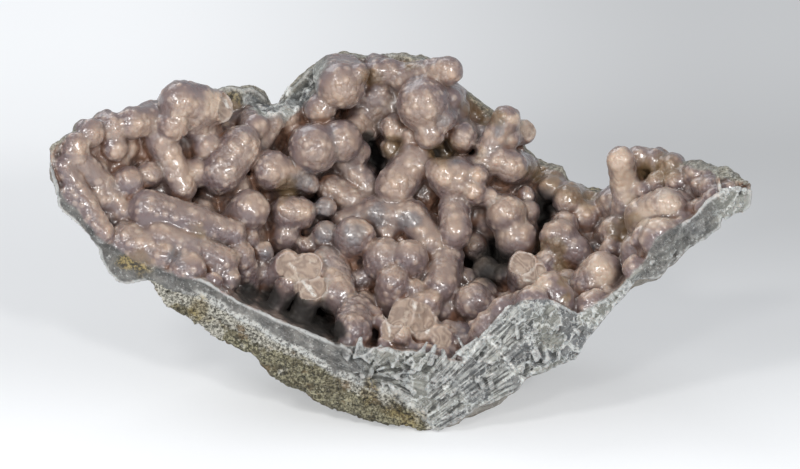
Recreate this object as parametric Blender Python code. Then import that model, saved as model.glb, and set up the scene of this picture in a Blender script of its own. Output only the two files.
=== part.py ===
"""Botryoidal chalcedony: a boat-shaped fragment of crust, lined with mauve fingers.

The specimen is a scoop of crust, 139 mm long, open towards the front and upwards. Its inner
bed is covered with rounded fingers that grew together with it. A rind of host rock clings to
the outside along the lower left edge and underneath. It rests on a small flat foot at z = 0.

Positions on the face are hand measurements in millimetres: x across, and h upwards as it looks
from 20 degrees above the horizontal, from the lowest corner of the front rim.
"""

import math
import random

import bmesh
import bpy
import numpy as np
from mathutils import Matrix, Vector, noise

# Frame of the face
LOOK_DOWN = math.radians(20.0)
FRONT_Y = -30.0

# Solid
GRAIN = 0.74
ROUNDING_PASSES = 1
TRIANGLES = 8200
PARTING_GAP = 0.3
LOBE_GIRTH = 1.06
SEED = 11

# Sections of the crust, at these places along x
STATION_X = [-69.6, -60, -50, -40, -30, -20, -10, 0, 8, 16, 24, 32, 40, 50, 60, 69.8]
FRONT_RIM_Y = [-11, -13, -16, -20, -23.5, -26, -28, -29.5, -30, -30, -29, -27, -25, -22, -18, -15]
BACK_RIM_Y = [-9, 1, 9, 15, 19, 23, 25, 26, 25, 23, 21, 18, 14, 8, -1, -13]
BED_PULL_Z = [46, 38, 32, 24, 14, 7, 3, 2, 2, 3, 6, 11, 19, 29, 37, 45]
UNDER_PULL_Z = [44, 34, 27, 16, 3, -8, -13, -14, -14, -12, -6, 1, 11, 20.5, 31, 42]
BACK_PULL_Z = [44, 40, 38, 31, 21, 11, 5, 4, 4, 5, 8, 14, 23, 32, 39, 44]
BACK_WALL = [1.5, 3, 4, 4.5, 5, 5, 5, 5, 5, 5, 5, 4.5, 4.5, 4, 3, 1.5]

# Lower edge of the broken front rim: (x, h)
RIM_LOWER = [
    (-69.6, 53.4), (-68.9, 51), (-68.5, 48.5), (-68.2, 45.4), (-67.6, 44), (-66.6, 43.2),
    (-62.6, 39.8), (-60, 36.4), (-59, 32.6), (-57.8, 30.8), (-55, 29), (-52, 29.4),
    (-49.6, 29.4), (-48, 27), (-46.4, 25), (-43.6, 23), (-40, 20.6),
    (-34, 17.4), (-28.6, 14.4), (-25.2, 10.6), (-20.4, 8.8), (-14.8, 5.4), (-10.8, 3.8), (-7, 2.6),
    (-1.6, 2), (4, 0.6), (8.2, 0), (13.4, 3.8), (19.8, 6.4), (23.4, 8.2), (25.2, 11), (31.4, 13.6),
    (35, 14.8), (37.4, 19), (42.2, 24.8), (46.4, 29.6), (51.4, 30.6), (53, 33), (58, 37),
    (62.6, 40), (68.6, 44), (69.8, 45.2),
]

# Upper edge of the broken front rim, where the bed begins: (x, h)
RIM_UPPER = [
    (-69.6, 55), (-68.6, 52), (-67.4, 47.6), (-66, 45.8), (-62, 41.6), (-58, 37.5), (-54, 35),
    (-50, 33), (-45, 31.6),
    (-39, 30.4), (-32, 26.2), (-24, 22.6), (-16.4, 19.4), (-12, 17.4), (-5.6, 17), (4, 16.2),
    (9, 15), (12, 14.4), (16.4, 19.8), (21, 25.2), (30, 26.6), (35, 23.8), (38, 24.4), (44, 29.2),
    (48, 33.8), (50.5, 38.2), (58, 43.2), (61, 46.6), (64, 48.4), (68.2, 49), (69.8, 48.6),
]

# Top edge of the crust: (x, h)
RIM_TOP = [
    (-69.6, 56.8), (-68.6, 57.4), (-67.4, 58), (-64, 60.4), (-58, 62.4), (-52, 64.6),
    (-47.8, 66.4), (-41, 66.6),
    (-35, 68.6), (-30, 69), (-27.2, 67), (-26.4, 65), (-25, 65.4), (-22, 69), (-18, 72.6),
    (-14, 74.8), (-11.8, 75.6), (0, 75.2), (7, 74), (11, 69.5), (13, 68.6), (16, 65.6), (19.6, 62.6),
    (22, 61.6), (24.5, 60.4), (25.4, 56.2), (28.2, 54), (33.2, 52.4), (34, 50), (37.8, 48.8),
    (39.4, 47), (42, 47), (45, 51), (49.4, 54.6), (54, 54.4), (57, 52.6), (62, 52), (64.8, 50.6),
    (68.2, 50), (69.8, 49.6),
]

# Fingers and lobes: each is a run of points (x, h, radius, lift), tip last or only point.
# Lift is how far a point stands off the bed towards the front.
LOBES_LEFT = [
    [(-40, 60, 4.0, 4), (-44, 66.0, 3.8, 8)],
    [(-41.4, 65.2, 4.1, 7.5), (-36.8, 64.8, 3.1, 8)],
    [(-45.6, 61.2, 2.9, 9)],
    [(-49.5, 62.2, 2.6, 4), (-53.5, 61.6, 2.9, 5)],
    [(-62, 59.6, 2.8, 2)],
    [(-57.6, 60.6, 2.8, 2.5)],
    [(-64.8, 57, 2.4, 2)],
    [(-57.2, 56.6, 2.5, 4)],
    [(-65, 55.6, 2.2, 2), (-60, 49.6, 2.3, 3), (-55, 43.2, 2.2, 3)],
    [(-67, 52.8, 1.8, 1), (-63, 46, 2.0, 2), (-59, 39.6, 1.9, 1.5)],
    [(-54.4, 49.8, 2.9, 6)],
    [(-50.4, 51.2, 2.5, 6.5)],
    [(-48, 58.2, 2.9, 6), (-44, 48.6, 2.8, 7)],
    [(-39, 57.2, 2.7, 8)],
    [(-41, 51.8, 2.7, 7.5)],
    [(-35.8, 51.6, 3.7, 10), (-32.2, 57, 3.9, 10)],
    [(-25.8, 62, 2.0, 6), (-30.2, 54, 2.1, 7)],
    [(-50, 43.8, 4.0, 7), (-41, 41.4, 3.4, 10), (-33.4, 39.4, 2.4, 12)],
    [(-48, 38.2, 3.2, 5), (-35.6, 33.8, 3.0, 8)],
    [(-34, 30.2, 2.0, 5)],
    [(-30.2, 44.2, 3.7, 13)],
    [(-26, 52.2, 3.5, 12), (-20.4, 50.8, 2.4, 10)],
    [(-30.4, 38.6, 1.9, 10)],
    [(-27.6, 35.8, 1.9, 9)],
    [(-22.6, 43.6, 3.0, 11), (-20.2, 43.6, 3.0, 11)],
    [(-18.4, 49.6, 1.9, 10)],
    [(-23, 48.2, 2.3, 8)],
    [(-15, 44.8, 1.9, 11)],
    [(-15, 39.4, 2.4, 12)],
    [(-15, 34, 2.6, 12)],
    [(-23, 39, 2.6, 9)],
    [(-18.6, 37, 1.8, 9)],
    [(-28, 31.4, 2.4, 4)],
    [(-22.6, 33.6, 2.4, 12)],
    [(-22.2, 29.6, 2.0, 13)],
    [(-17.2, 28.6, 2.3, 13)],
    [(-18.2, 32.8, 2.6, 13)],
    [(-14.4, 37.2, 3.0, 8), (-12.6, 27, 3.6, 11)],
]
LOBES_CENTRE = [
    [(-12, 69.4, 4.5, 7)],
    [(-8.4, 71.8, 1.8, 8)],
    [(-16, 64.6, 2.9, 7)],
    [(-17.4, 56.6, 4.6, 12)],
    [(-12, 58.2, 3.9, 11)],
    [(-11, 54.2, 2.7, 6), (-4, 45.4, 2.7, 8)],
    [(-14, 48.6, 2.6, 7), (-7, 44.4, 2.7, 9)],
    [(-4.4, 72, 2.4, 4), (-2.2, 72.4, 2.4, 4)],
    [(-8, 64.2, 2.8, 2), (0, 66.6, 2.8, 3)],
    [(1, 71, 2.7, 4), (9.8, 72.4, 2.6, 8)],
    [(4.6, 65.4, 4.9, 12)],
    [(6, 59.6, 2.8, 13)],
    [(9, 62.2, 1.8, 13)],
    [(10, 66.6, 2.3, 8)],
    [(-1.6, 56.8, 2.1, 6)],
    [(-6, 60.2, 1.7, 4)],
    [(3, 54, 3.6, 10), (-1, 48.8, 3.7, 12)],
    [(12.6, 59, 2.9, 8)],
    [(21.4, 62.4, 2.4, 8), (18, 56.4, 2.4, 9)],
    [(22.4, 58.8, 1.8, 8)],
    [(25, 60, 2.2, 3)],
    [(11, 50.4, 4.3, 13)],
    [(8.8, 51.4, 2.9, 15)],
    [(7.2, 52.6, 1.8, 14)],
    [(15.6, 51.2, 1.8, 14)],
    [(15, 47.8, 2.1, 14)],
    [(14.4, 52.2, 2.5, 9), (20, 54.2, 2.5, 10)],
    [(22.4, 53, 3.1, 9)],
    [(11, 44.4, 2.8, 13), (11.2, 39.6, 2.9, 15)],
    [(18, 46.8, 1.8, 12)],
    [(21.4, 43.4, 3.7, 10)],
    [(26, 43.8, 2.1, 8)],
    [(25.6, 47.2, 1.6, 7)],
    [(23.6, 38.4, 4.0, 7)],
    [(14.6, 37.2, 2.5, 7)],
    [(17.4, 32.2, 2.5, 4)],
    [(21, 31.2, 1.9, 3)],
    [(-9.4, 39, 3.5, 15)],
    [(-6.6, 39.8, 1.4, 17)],
    [(-11, 41.6, 2.4, 9), (-5, 43.4, 3.0, 11), (2.4, 42.6, 3.2, 12), (6, 37.4, 2.9, 13)],
    [(-2, 44.4, 2.6, 7), (-4, 39.2, 2.6, 6)],
    [(-3, 39.6, 2.2, 12)],
    [(2, 34.8, 3.2, 17)],
    [(-3, 34.2, 4.1, 14)],
    [(-1.4, 29.6, 3.1, 15)],
    [(9, 34.8, 3.3, 11), (8.2, 28.8, 3.4, 13)],
    [(3, 28.2, 1.8, 14)],
    [(6, 25.6, 2.3, 13)],
    [(14.8, 25.8, 3.5, 11)],
    [(-9, 23.4, 3.4, 9), (-9.4, 19.8, 3.4, 9)],
    [(1.6, 22.6, 3.6, 11)],
    [(-1.4, 20.4, 2.4, 10)],
    [(-5, 23.2, 1.5, 10)],
    [(4.8, 19.8, 2.0, 9)],
    [(8, 18.8, 2.4, 8)],
    [(12, 18.2, 3.4, 5)],
]
LOBES_RIGHT = [
    [(25.2, 31.8, 3.4, 8)],
    [(32, 38.6, 3.5, 11)],
    [(35.2, 36.2, 2.8, 10)],
    [(30.2, 34, 2.5, 8)],
    [(31.6, 32, 2.0, 4), (33, 25.6, 2.1, 5)],
    [(38.4, 29.2, 3.9, 8), (40.2, 31.8, 3.8, 11)],
    [(37.6, 42.8, 3.2, 5)],
    [(33, 41.2, 2.5, 9)],
    [(43.4, 39.8, 3.1, 6)],
    [(42.4, 36.2, 2.2, 7)],
    [(49, 42.6, 3.7, 10), (53, 44.8, 3.6, 11)],
    [(45.8, 44.6, 2.8, 6), (45.2, 49.8, 2.6, 8.5), (44.2, 54.3, 2.5, 11)],
    [(48.4, 48.2, 1.6, 7)],
    [(47.8, 54.6, 2.3, 3)],
    [(51.4, 54, 2.3, 1.5)],
    [(54.6, 53, 2.3, 1.5)],
    [(51.6, 49.8, 2.1, 3.5)],
    [(55.4, 49.8, 2.2, 3)],
    [(46.4, 32.8, 2.2, 5)],
    [(34.4, 25.6, 2.2, 5)],
    [(62, 48.4, 2.4, 2.5)],
]

# Shorter fingers that fill the bed behind the measured ones
FILL_SPACING = (4.3, 4.3)
FILL_RADIUS = (2.2, 3.3)
FILL_LIFT = (2.5, 9.5)
SIDE_LOBES_PER_FINGER = 3

# Dark hollows that stay open between the fingers: (x, h, radius)
HOLLOWS = [
    (-5, 54.6, 3.2), (-6.4, 58.4, 2.2), (17.8, 34, 5.6), (-30, 27.6, 2.4), (-26, 26.2, 3.4),
    (-21, 24.2, 4.2), (-16.5, 21.6, 4.0), (-12.8, 19.8, 2.6), (6.6, 55, 2.4), (28.6, 42.6, 2.2),
    (29, 46.4, 2.6), (-48, 53.8, 2.0),
]

# Bare crust along the notched top edge: (x, h, radius)
BARE = [
    (-34, 65.8, 3.2), (-30, 65, 2.8), (-26.2, 64.8, 2.4), (-24.4, 67, 2.2), (-21.6, 70, 2.2),
    (-18.6, 72.8, 2.0), (-22.8, 65, 2.4), (-20.4, 67.4, 2.6), (-17.6, 70.6, 2.0),
]

# Splinters standing on the broken rim: (x, h, length, width, lean in degrees, how far forward)
SPLINTERS = [
    (-6.2, 18, 9, 2.6, 6, 0.3), (-10.5, 15.6, 8, 3.4, -40, 0), (-1.5, 15.4, 10, 3.2, 64, 0.4),
    (4.5, 15, 8, 3.4, 35, 0.6), (10, 13, 10, 3.6, 52, 0.5), (15.5, 14, 13, 6, -24, 0),
    (18, 15, 12, 7, 24, 0), (22.5, 18, 14, 8, 50, 0), (27, 20, 14, 8, -18, 0), (31.5, 19.5, 12, 7, 62, 0),
    (21, 10.6, 11, 6, 66, 0.2), (28, 15.4, 11, 6, 76, 0), (34.6, 19, 9, 6, 20, 0),
]

# Foot
FOOT_Z = 0.0

# Host rock: where its top shows on the broken rim (0 at the upper edge, 1 at the lower one),
# and how far it reaches into the stone underneath
ROCK_X = [-58, -54, -50, -44, -36, -28, -18, -8, 0, 5, 9, 13]
ROCK_TOP = [1.4, 1.15, 0.66, 0.44, 0.38, 0.36, 0.42, 0.54, 0.68, 0.85, 1.15, 1.4]
ROCK_DEPTH = [-2.5, -1, 1.2, 2.6, 3.4, 4.0, 4.4, 4.6, 3.4, 1.6, -1, -2.5]


def spline(x, knots, values):
    """Smooth curve through hand-set values (Catmull-Rom)."""
    knots = np.asarray(knots, float)
    values = np.asarray(values, float)
    slopes = np.gradient(values, knots)
    i = int(np.clip(np.searchsorted(knots, x) - 1, 0, len(knots) - 2))
    w = knots[i + 1] - knots[i]
    s = min(max((x - knots[i]) / w, 0.0), 1.0)
    a = 2 * s**3 - 3 * s**2 + 1
    b = s**3 - 2 * s**2 + s
    c = -2 * s**3 + 3 * s**2
    d = s**3 - s**2
    return a * values[i] + b * w * slopes[i] + c * values[i + 1] + d * w * slopes[i + 1]


def along(x, points):
    """Straight runs through hand-measured (x, h) points."""
    xs, hs = zip(*points)
    return float(np.interp(x, xs, hs))


def z_of(h, y):
    return (h - (y - FRONT_Y) * math.sin(LOOK_DOWN)) / math.cos(LOOK_DOWN)


def h_of(y, z):
    return (y - FRONT_Y) * math.sin(LOOK_DOWN) + z * math.cos(LOOK_DOWN)


TOWARDS_FRONT = np.array([0.0, -math.cos(LOOK_DOWN), math.sin(LOOK_DOWN)])


def bezier(points, steps):
    """Cubic curve in the (y, z) plane."""
    p = np.asarray(points, float)
    t = np.linspace(0.0, 1.0, steps)[:, None]
    return (1 - t) ** 3 * p[0] + 3 * t * (1 - t) ** 2 * p[1] + 3 * t**2 * (1 - t) * p[2] + t**3 * p[3]


def bed_curve(x, steps=28):
    """Inner face of the crust at x, from the front rim to the top."""
    front = spline(x, STATION_X, FRONT_RIM_Y) + 1.0
    back = spline(x, STATION_X, BACK_RIM_Y)
    start = (front, z_of(along(x, RIM_UPPER), front))
    end = (back, z_of(along(x, RIM_TOP), back))
    pull_1 = (front + 0.6 * (back - front), spline(x, STATION_X, BED_PULL_Z))
    pull_2 = (back + 1.0, 0.72 * start[1] + 0.28 * end[1])
    return bezier([start, pull_1, pull_2, end], steps)


def outer_curve(x, steps=28, inset=0.0):
    """Outer face of the crust at x, from the front rim to the top."""
    front = spline(x, STATION_X, FRONT_RIM_Y)
    back = spline(x, STATION_X, BACK_RIM_Y)
    wall = spline(x, STATION_X, BACK_WALL)
    start = (front, z_of(along(x, RIM_LOWER), front))
    end = (back + wall, z_of(along(x, RIM_TOP), back) - 0.8)
    pull_1 = (front + 0.7 * (back - front), spline(x, STATION_X, UNDER_PULL_Z))
    pull_2 = (back + wall + 2.5, spline(x, STATION_X, BACK_PULL_Z))
    curve = bezier([start, pull_1, pull_2, end], steps)
    if inset:
        way = np.gradient(curve, axis=0)
        way /= np.linalg.norm(way, axis=1)[:, None]
        curve = curve + np.stack([-way[:, 1], way[:, 0]], axis=1) * inset
    return curve


class Pieces:
    """Closed bodies collected as plain points and faces, in millimetres."""

    def __init__(self):
        self.points = []
        self.faces = []

    def add(self, points, faces):
        start = len(self.points)
        self.points.extend(tuple(map(float, p)) for p in points)
        self.faces.extend(tuple(start + i for i in face) for face in faces)

    def to_object(self, name):
        mesh = bpy.data.meshes.new(name)
        mesh.from_pydata([(x * 0.001, y * 0.001, z * 0.001) for x, y, z in self.points], [], self.faces)
        bm = bmesh.new()
        bm.from_mesh(mesh)
        bmesh.ops.recalc_face_normals(bm, faces=bm.faces)
        bm.to_mesh(mesh)
        bm.free()
        obj = bpy.data.objects.new(name, mesh)
        bpy.context.scene.collection.objects.link(obj)
        return obj


def shape_of(make, **settings):
    """Points and faces of one Blender primitive."""
    bm = bmesh.new()
    make(bm, **settings)
    bm.verts.ensure_lookup_table()
    points = np.array([v.co[:] for v in bm.verts])
    faces = [tuple(v.index for v in face.verts) for face in bm.faces]
    bm.free()
    return points, faces


def loft(pieces, xs, rings):
    """Closed body through equal rings of (y, z) points."""
    count = len(rings[0])
    points = [(x, y, z) for x, ring in zip(xs, rings) for y, z in ring]
    faces = []
    for row in range(len(rings) - 1):
        for i in range(count):
            j = (i + 1) % count
            near = row * count
            far = near + count
            faces.append((near + i, near + j, far + j, far + i))
    faces.append(tuple(range(count)))
    faces.append(tuple(range(len(points) - count, len(points))))
    pieces.add(points, faces)


def rim_break(x, start, end, steps=6):
    """The broken edge of the crust at x, between its lower and its upper edge."""
    rough = float(np.interp(x, [-60, -20, 0, 12, 45, 66], [0.5, 0.7, 1.2, 2.2, 1.8, 0.6]))
    points = []
    for i in range(1, steps):
        s = i / steps
        y, z = (1 - s) * np.asarray(start) + s * np.asarray(end)
        cell = noise.cell(Vector((x * 0.23, z * 0.34 + x * 0.1, 3.1)))
        along_rim = Vector((x * 0.07, 0.0, z * 0.13 + x * 0.05))
        ridge = noise.ridged_multi_fractal(along_rim, 1.0, 2.0, 2, 1.0, 2.0)
        points.append((y - rough * (0.7 * (cell - 0.5) + 0.8 * (ridge - 1.0)), z))
    return np.array(points)


def add_crust(pieces):
    xs = np.arange(-69.6, 69.81, 0.85)
    rings = []
    for x in xs:
        inner = bed_curve(x)
        outer = outer_curve(x)
        for i, (y, z) in enumerate(outer):
            fade = math.sin(math.pi * i / (len(outer) - 1)) ** 0.6
            bump = noise.fractal(Vector((x, y, z)) * 0.09, 1.0, 2.0, 3) * 1.5
            outer[i] += np.array((0.5, -0.8)) * bump * fade
        rings.append(np.concatenate([inner, outer[::-1], rim_break(x, outer[0], inner[0])]))
    loft(pieces, xs, rings)


def bed_points():
    """Points all over the bed, for finding where a finger is rooted."""
    points = []
    for x in np.arange(-69.0, 69.5, 1.0):
        for y, z in bed_curve(x, 48)[2:-1]:
            points.append((x, y, z))
    return np.array(points)


def on_face(x, h, lift):
    """The place at (x, h) on the face that stands off the bed by lift."""
    curve = bed_curve(min(max(x, -69.0), 69.0), 80)
    heights = h_of(curve[:, 0], curve[:, 1])
    crossings = np.nonzero((heights[:-1] < h) & (heights[1:] >= h))[0]
    if len(crossings):
        i = crossings[-1]
        s = (h - heights[i]) / (heights[i + 1] - heights[i])
        y, z = curve[i] + s * (curve[i + 1] - curve[i])
    else:
        end = curve[-1] if h > heights[-1] else curve[0]
        y = end[0]
        z = z_of(h, y)
    return np.array((x, y, z)) + TOWARDS_FRONT * lift


def measured_fingers(roots):
    """Paths of (centre, radius) from the root in the bed to the tip."""
    paths = []
    for lobe in LOBES_LEFT + LOBES_CENTRE + LOBES_RIGHT:
        path = [(on_face(x, h, lift), r * LOBE_GIRTH) for x, h, r, lift in lobe]
        first, first_r = path[0]
        root = roots[np.argmin(((roots - first) ** 2).sum(axis=1))]
        paths.append([(root, first_r * 0.9)] + path)
    return paths


def room_behind(place):
    """How far a place lies in front of the outer face of the crust."""
    back = outer_curve(min(max(place[0], -69.0), 69.0), 60)
    i = int(np.linalg.norm(back - place[1:], axis=1)[1:-1].argmin()) + 1
    way = back[i + 1] - back[i - 1]
    return float(np.dot(place[1:] - back[i], (-way[1], way[0]))) / math.hypot(*way)


def within_crust(path):
    """The same path, no thicker anywhere than the crust behind it can hold."""
    return [(centre, min(r, max(room_behind(centre) - 0.4, 0.8))) for centre, r in path]


def hides_measured(tip, r, tips):
    """Whether a lobe would stand in front of one of the measured tips."""
    for centre, radius in tips:
        apart = math.hypot(tip[0] - centre[0], h_of(tip[1], tip[2]) - h_of(centre[1], centre[2]))
        if apart < radius + 0.5 * r and (tip - centre).dot(TOWARDS_FRONT) > -r:
            return True
    return False


def fill_fingers(rng, measured):
    """Shorter fingers on a loose lattice over the bed, behind the measured ones."""
    tips = [path[-1] for path in measured]
    paths = []
    step_x, step_s = FILL_SPACING
    for column in range(-16, 17):
        for row in range(24):
            x = column * step_x + rng.uniform(-1.2, 1.2)
            s = (row + 0.7 + 0.5 * (column % 2)) * step_s + rng.uniform(-1.0, 1.0)
            r = rng.uniform(*FILL_RADIUS)
            lift = rng.uniform(*FILL_LIFT) * min(1.0, max(0.2, (64 - abs(x)) / 36))
            lift *= min(1.0, 0.1 + s / 18)
            sway = rng.uniform(-1.6, 1.6)
            if abs(x) > 67:
                continue
            curve = bed_curve(x, 60)
            runs = np.linalg.norm(np.diff(curve, axis=0), axis=1)
            reach = np.concatenate([[0.0], np.cumsum(runs)])
            if s > reach[-1] - 1.5:
                continue
            i = int(np.searchsorted(reach, s)) - 1
            way = (curve[i + 1] - curve[i]) / runs[i]
            root = np.array((x, *curve[i]))
            out = np.array((0.0, -way[1], way[0]))
            tip = root + out * lift + np.array((sway, 0.0, 0.0))
            h = h_of(tip[1], tip[2])
            if any((tip[0] - hx) ** 2 + (h - hh) ** 2 < hr**2 for hx, hh, hr in HOLLOWS + BARE):
                continue
            if hides_measured(tip, r, tips):
                continue
            middle = (root + tip) / 2 - np.array((sway * 0.3, 0.0, 0.0))
            paths.append([(root, r * 1.1), (middle, r), (tip, r)])
    return paths


def side_lobes(path, rng):
    """Small bulges around the tip of a finger."""
    (before, _), (tip, tip_r) = path[-2:]
    way = (tip - before) / max(np.linalg.norm(tip - before), 1e-6)
    balls = []
    for _ in range(SIDE_LOBES_PER_FINGER):
        side = np.array([rng.gauss(0, 1) for _ in range(3)])
        side -= way * side.dot(way)
        side /= np.linalg.norm(side)
        back = rng.uniform(0.1, 1.4) * tip_r
        r = tip_r * rng.uniform(0.5, 0.7)
        balls.append((tip - way * back + side * (tip_r * rng.uniform(0.5, 0.66)), r))
    return balls


def add_fingers(pieces, rng):
    ball, ball_faces = shape_of(bmesh.ops.create_icosphere, subdivisions=2, radius=1.0)
    limb, limb_faces = shape_of(
        bmesh.ops.create_cone, cap_ends=True, segments=16, radius1=1.0, radius2=1.0, depth=1.0
    )
    roots = bed_points()
    measured = measured_fingers(roots)
    for path in map(within_crust, measured + fill_fingers(rng, measured)):
        for (a, ra), (b, rb) in zip(path, path[1:]):
            pieces.add(ball * rb + b, ball_faces)
            way = Vector(b - a)
            if way.length < 0.2:
                continue
            turn = np.array(way.to_track_quat("Z", "Y").to_matrix())
            girth = limb[:, :2] * (ra + (rb - ra) * (limb[:, 2:] + 0.5))
            wide = np.concatenate([girth, limb[:, 2:] * way.length], axis=1)
            pieces.add(wide @ turn.T + (a + b) / 2, limb_faces)
        for centre, r in side_lobes(path, rng):
            if room_behind(centre) > r:
                pieces.add(ball * r + centre, ball_faces)


def add_splinters(pieces):
    """Flat blades of broken chalcedony that stand on the front rim."""
    block, block_faces = shape_of(bmesh.ops.create_cube, size=2.0)
    taper = np.where(block[:, 2:] > 0, 0.4, 1.0)
    block = np.concatenate([block[:, :2] * taper, block[:, 2:]], axis=1)
    for x, h, length, width, lean, forward in SPLINTERS:
        y = spline(x, STATION_X, FRONT_RIM_Y) + 2.2 - forward
        turn = np.array(Matrix.Rotation(math.radians(lean), 3, "Y") @ Matrix.Rotation(-LOOK_DOWN, 3, "X"))
        size = np.array((width / 2, 2.6, length / 2))
        pieces.add((block * size) @ turn.T + np.array((x, y, z_of(h, y))), block_faces)


def apply_modifiers(obj):
    graph = bpy.context.evaluated_depsgraph_get()
    mesh = bpy.data.meshes.new_from_object(obj.evaluated_get(graph))
    obj.modifiers.clear()
    old = obj.data
    obj.data = mesh
    bpy.data.meshes.remove(old)


def keep_largest(obj):
    """Drops chips, and the walls of bubbles sealed inside the stone."""
    bm = bmesh.new()
    bm.from_mesh(obj.data)
    unseen = set(bm.verts)
    groups = []
    while unseen:
        stack = [unseen.pop()]
        group = list(stack)
        while stack:
            vert = stack.pop()
            for edge in vert.link_edges:
                other = edge.other_vert(vert)
                if other in unseen:
                    unseen.discard(other)
                    group.append(other)
                    stack.append(other)
        groups.append(group)
    groups.sort(key=len, reverse=True)
    for group in groups[1:]:
        bmesh.ops.delete(bm, geom=group, context="VERTS")
    bm.to_mesh(obj.data)
    bm.free()


def grow_together(obj):
    """One skin around everything that grew together, rounded a little, then thinned."""
    remesh = obj.modifiers.new("Grow together", "REMESH")
    remesh.mode = "VOXEL"
    remesh.voxel_size = GRAIN * 0.001
    apply_modifiers(obj)
    keep_largest(obj)
    smooth = obj.modifiers.new("Round off", "SMOOTH")
    smooth.factor = 0.5
    smooth.iterations = ROUNDING_PASSES
    thin = obj.modifiers.new("Thin out", "DECIMATE")
    thin.ratio = TRIANGLES / (2.0 * len(obj.data.polygons))
    apply_modifiers(obj)


def cut(obj, other, operation):
    step = obj.modifiers.new("Cut", "BOOLEAN")
    step.operation = operation
    step.solver = "EXACT"
    step.object = other
    apply_modifiers(obj)
    bpy.data.objects.remove(other)
    keep_largest(obj)


def below_foot():
    pieces = Pieces()
    points, faces = shape_of(bmesh.ops.create_cube, size=200.0)
    pieces.add(points + np.array((0, 0, FOOT_Z - 100.0)), faces)
    return pieces.to_object("below_foot")


def rock_region(gap):
    """The space outside the seam between chalcedony and host rock."""
    xs = np.linspace(ROCK_X[0], ROCK_X[-1], 30)
    rings = []
    for x in xs:
        depth = spline(x, ROCK_X, ROCK_DEPTH)
        upper = bed_curve(x)[0]
        outer = outer_curve(x, 41)
        seam_start = upper + (outer[0] - upper) * spline(x, ROCK_X, ROCK_TOP)
        seam = []
        for i in range(0, 25, 2):
            t = i / 24
            inset = depth * (1 - t**2) - 3.0 * t**2 - gap
            seam.append(outer_curve(x, 41, inset)[i])
        seam = np.array(seam)
        lead = np.linspace(1, 0, len(seam))[:, None] ** 3
        seam = seam + lead * (seam_start - np.array((0, gap)) - seam[0])
        front = seam[0] + np.array((-9.0, -1.0))
        below = [(seam[-1][0] + 4, -30.0), (front[0], -30.0)]
        rings.append(np.concatenate([[front], seam, below]))
    pieces = Pieces()
    loft(pieces, xs, rings)
    return pieces.to_object("rock_region")


def copy_of(obj, name):
    other = bpy.data.objects.new(name, obj.data.copy())
    bpy.context.scene.collection.objects.link(other)
    return other


def finish(obj, name, colour, roughness):
    mat = bpy.data.materials.new(name)
    mat.use_nodes = True
    shader = mat.node_tree.nodes["Principled BSDF"]
    shader.inputs["Base Color"].default_value = (*colour, 1.0)
    shader.inputs["Roughness"].default_value = roughness
    shader.inputs["Metallic"].default_value = 0.0
    obj.data.materials.clear()
    obj.data.materials.append(mat)
    obj.data.shade_smooth()


def clear_scene():
    for obj in list(bpy.data.objects):
        bpy.data.objects.remove(obj, do_unlink=True)


def main():
    clear_scene()
    rng = random.Random(SEED)
    pieces = Pieces()
    add_crust(pieces)
    add_fingers(pieces, rng)
    add_splinters(pieces)
    stone = pieces.to_object("chalcedony")
    grow_together(stone)
    cut(stone, below_foot(), "DIFFERENCE")
    rock = copy_of(stone, "host_rock")
    cut(rock, rock_region(PARTING_GAP), "INTERSECT")
    cut(stone, rock_region(0.0), "DIFFERENCE")
    finish(stone, "mauve_chalcedony", (0.42, 0.32, 0.31), 0.35)
    finish(rock, "speckled_rock", (0.33, 0.29, 0.2), 0.85)


main()
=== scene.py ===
"""The look of the botryoidal chalcedony specimen: fingers, broken rim and host rock at full detail.

The stone is described as a distance field in millimetres, from the same measured places as
its solids, and skinned with quads. Colours and roughness come from procedural nodes.
"""

import math
import random

import bpy
import numpy as np
from mathutils import Matrix, Vector, noise


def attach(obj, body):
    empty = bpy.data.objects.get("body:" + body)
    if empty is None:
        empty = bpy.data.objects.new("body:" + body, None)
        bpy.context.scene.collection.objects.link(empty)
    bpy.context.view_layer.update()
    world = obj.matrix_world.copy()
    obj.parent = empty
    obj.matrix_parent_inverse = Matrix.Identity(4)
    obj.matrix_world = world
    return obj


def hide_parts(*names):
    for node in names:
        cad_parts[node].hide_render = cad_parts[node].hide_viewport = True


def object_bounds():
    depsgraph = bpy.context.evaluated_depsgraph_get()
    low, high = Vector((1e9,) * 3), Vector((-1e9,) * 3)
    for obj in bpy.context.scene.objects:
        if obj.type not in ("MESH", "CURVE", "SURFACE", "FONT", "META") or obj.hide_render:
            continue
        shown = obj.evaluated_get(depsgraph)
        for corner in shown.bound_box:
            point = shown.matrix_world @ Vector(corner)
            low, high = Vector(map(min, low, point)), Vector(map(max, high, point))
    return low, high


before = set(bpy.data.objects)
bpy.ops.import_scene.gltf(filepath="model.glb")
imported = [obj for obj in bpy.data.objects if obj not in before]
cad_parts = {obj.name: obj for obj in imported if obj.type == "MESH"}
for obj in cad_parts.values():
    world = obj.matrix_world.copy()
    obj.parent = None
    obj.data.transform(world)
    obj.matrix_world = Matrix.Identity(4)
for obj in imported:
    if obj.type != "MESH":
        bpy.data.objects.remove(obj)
CAD_LOW, CAD_HIGH = [list(corner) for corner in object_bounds()]

# Frame of the face
LOOK_DOWN = math.radians(20.0)
FRONT_Y = -30.0

# How much thicker every measured lobe is made, and the seed of the random draws for fingers
LOBE_GIRTH = 1.06
SEED = 11

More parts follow.
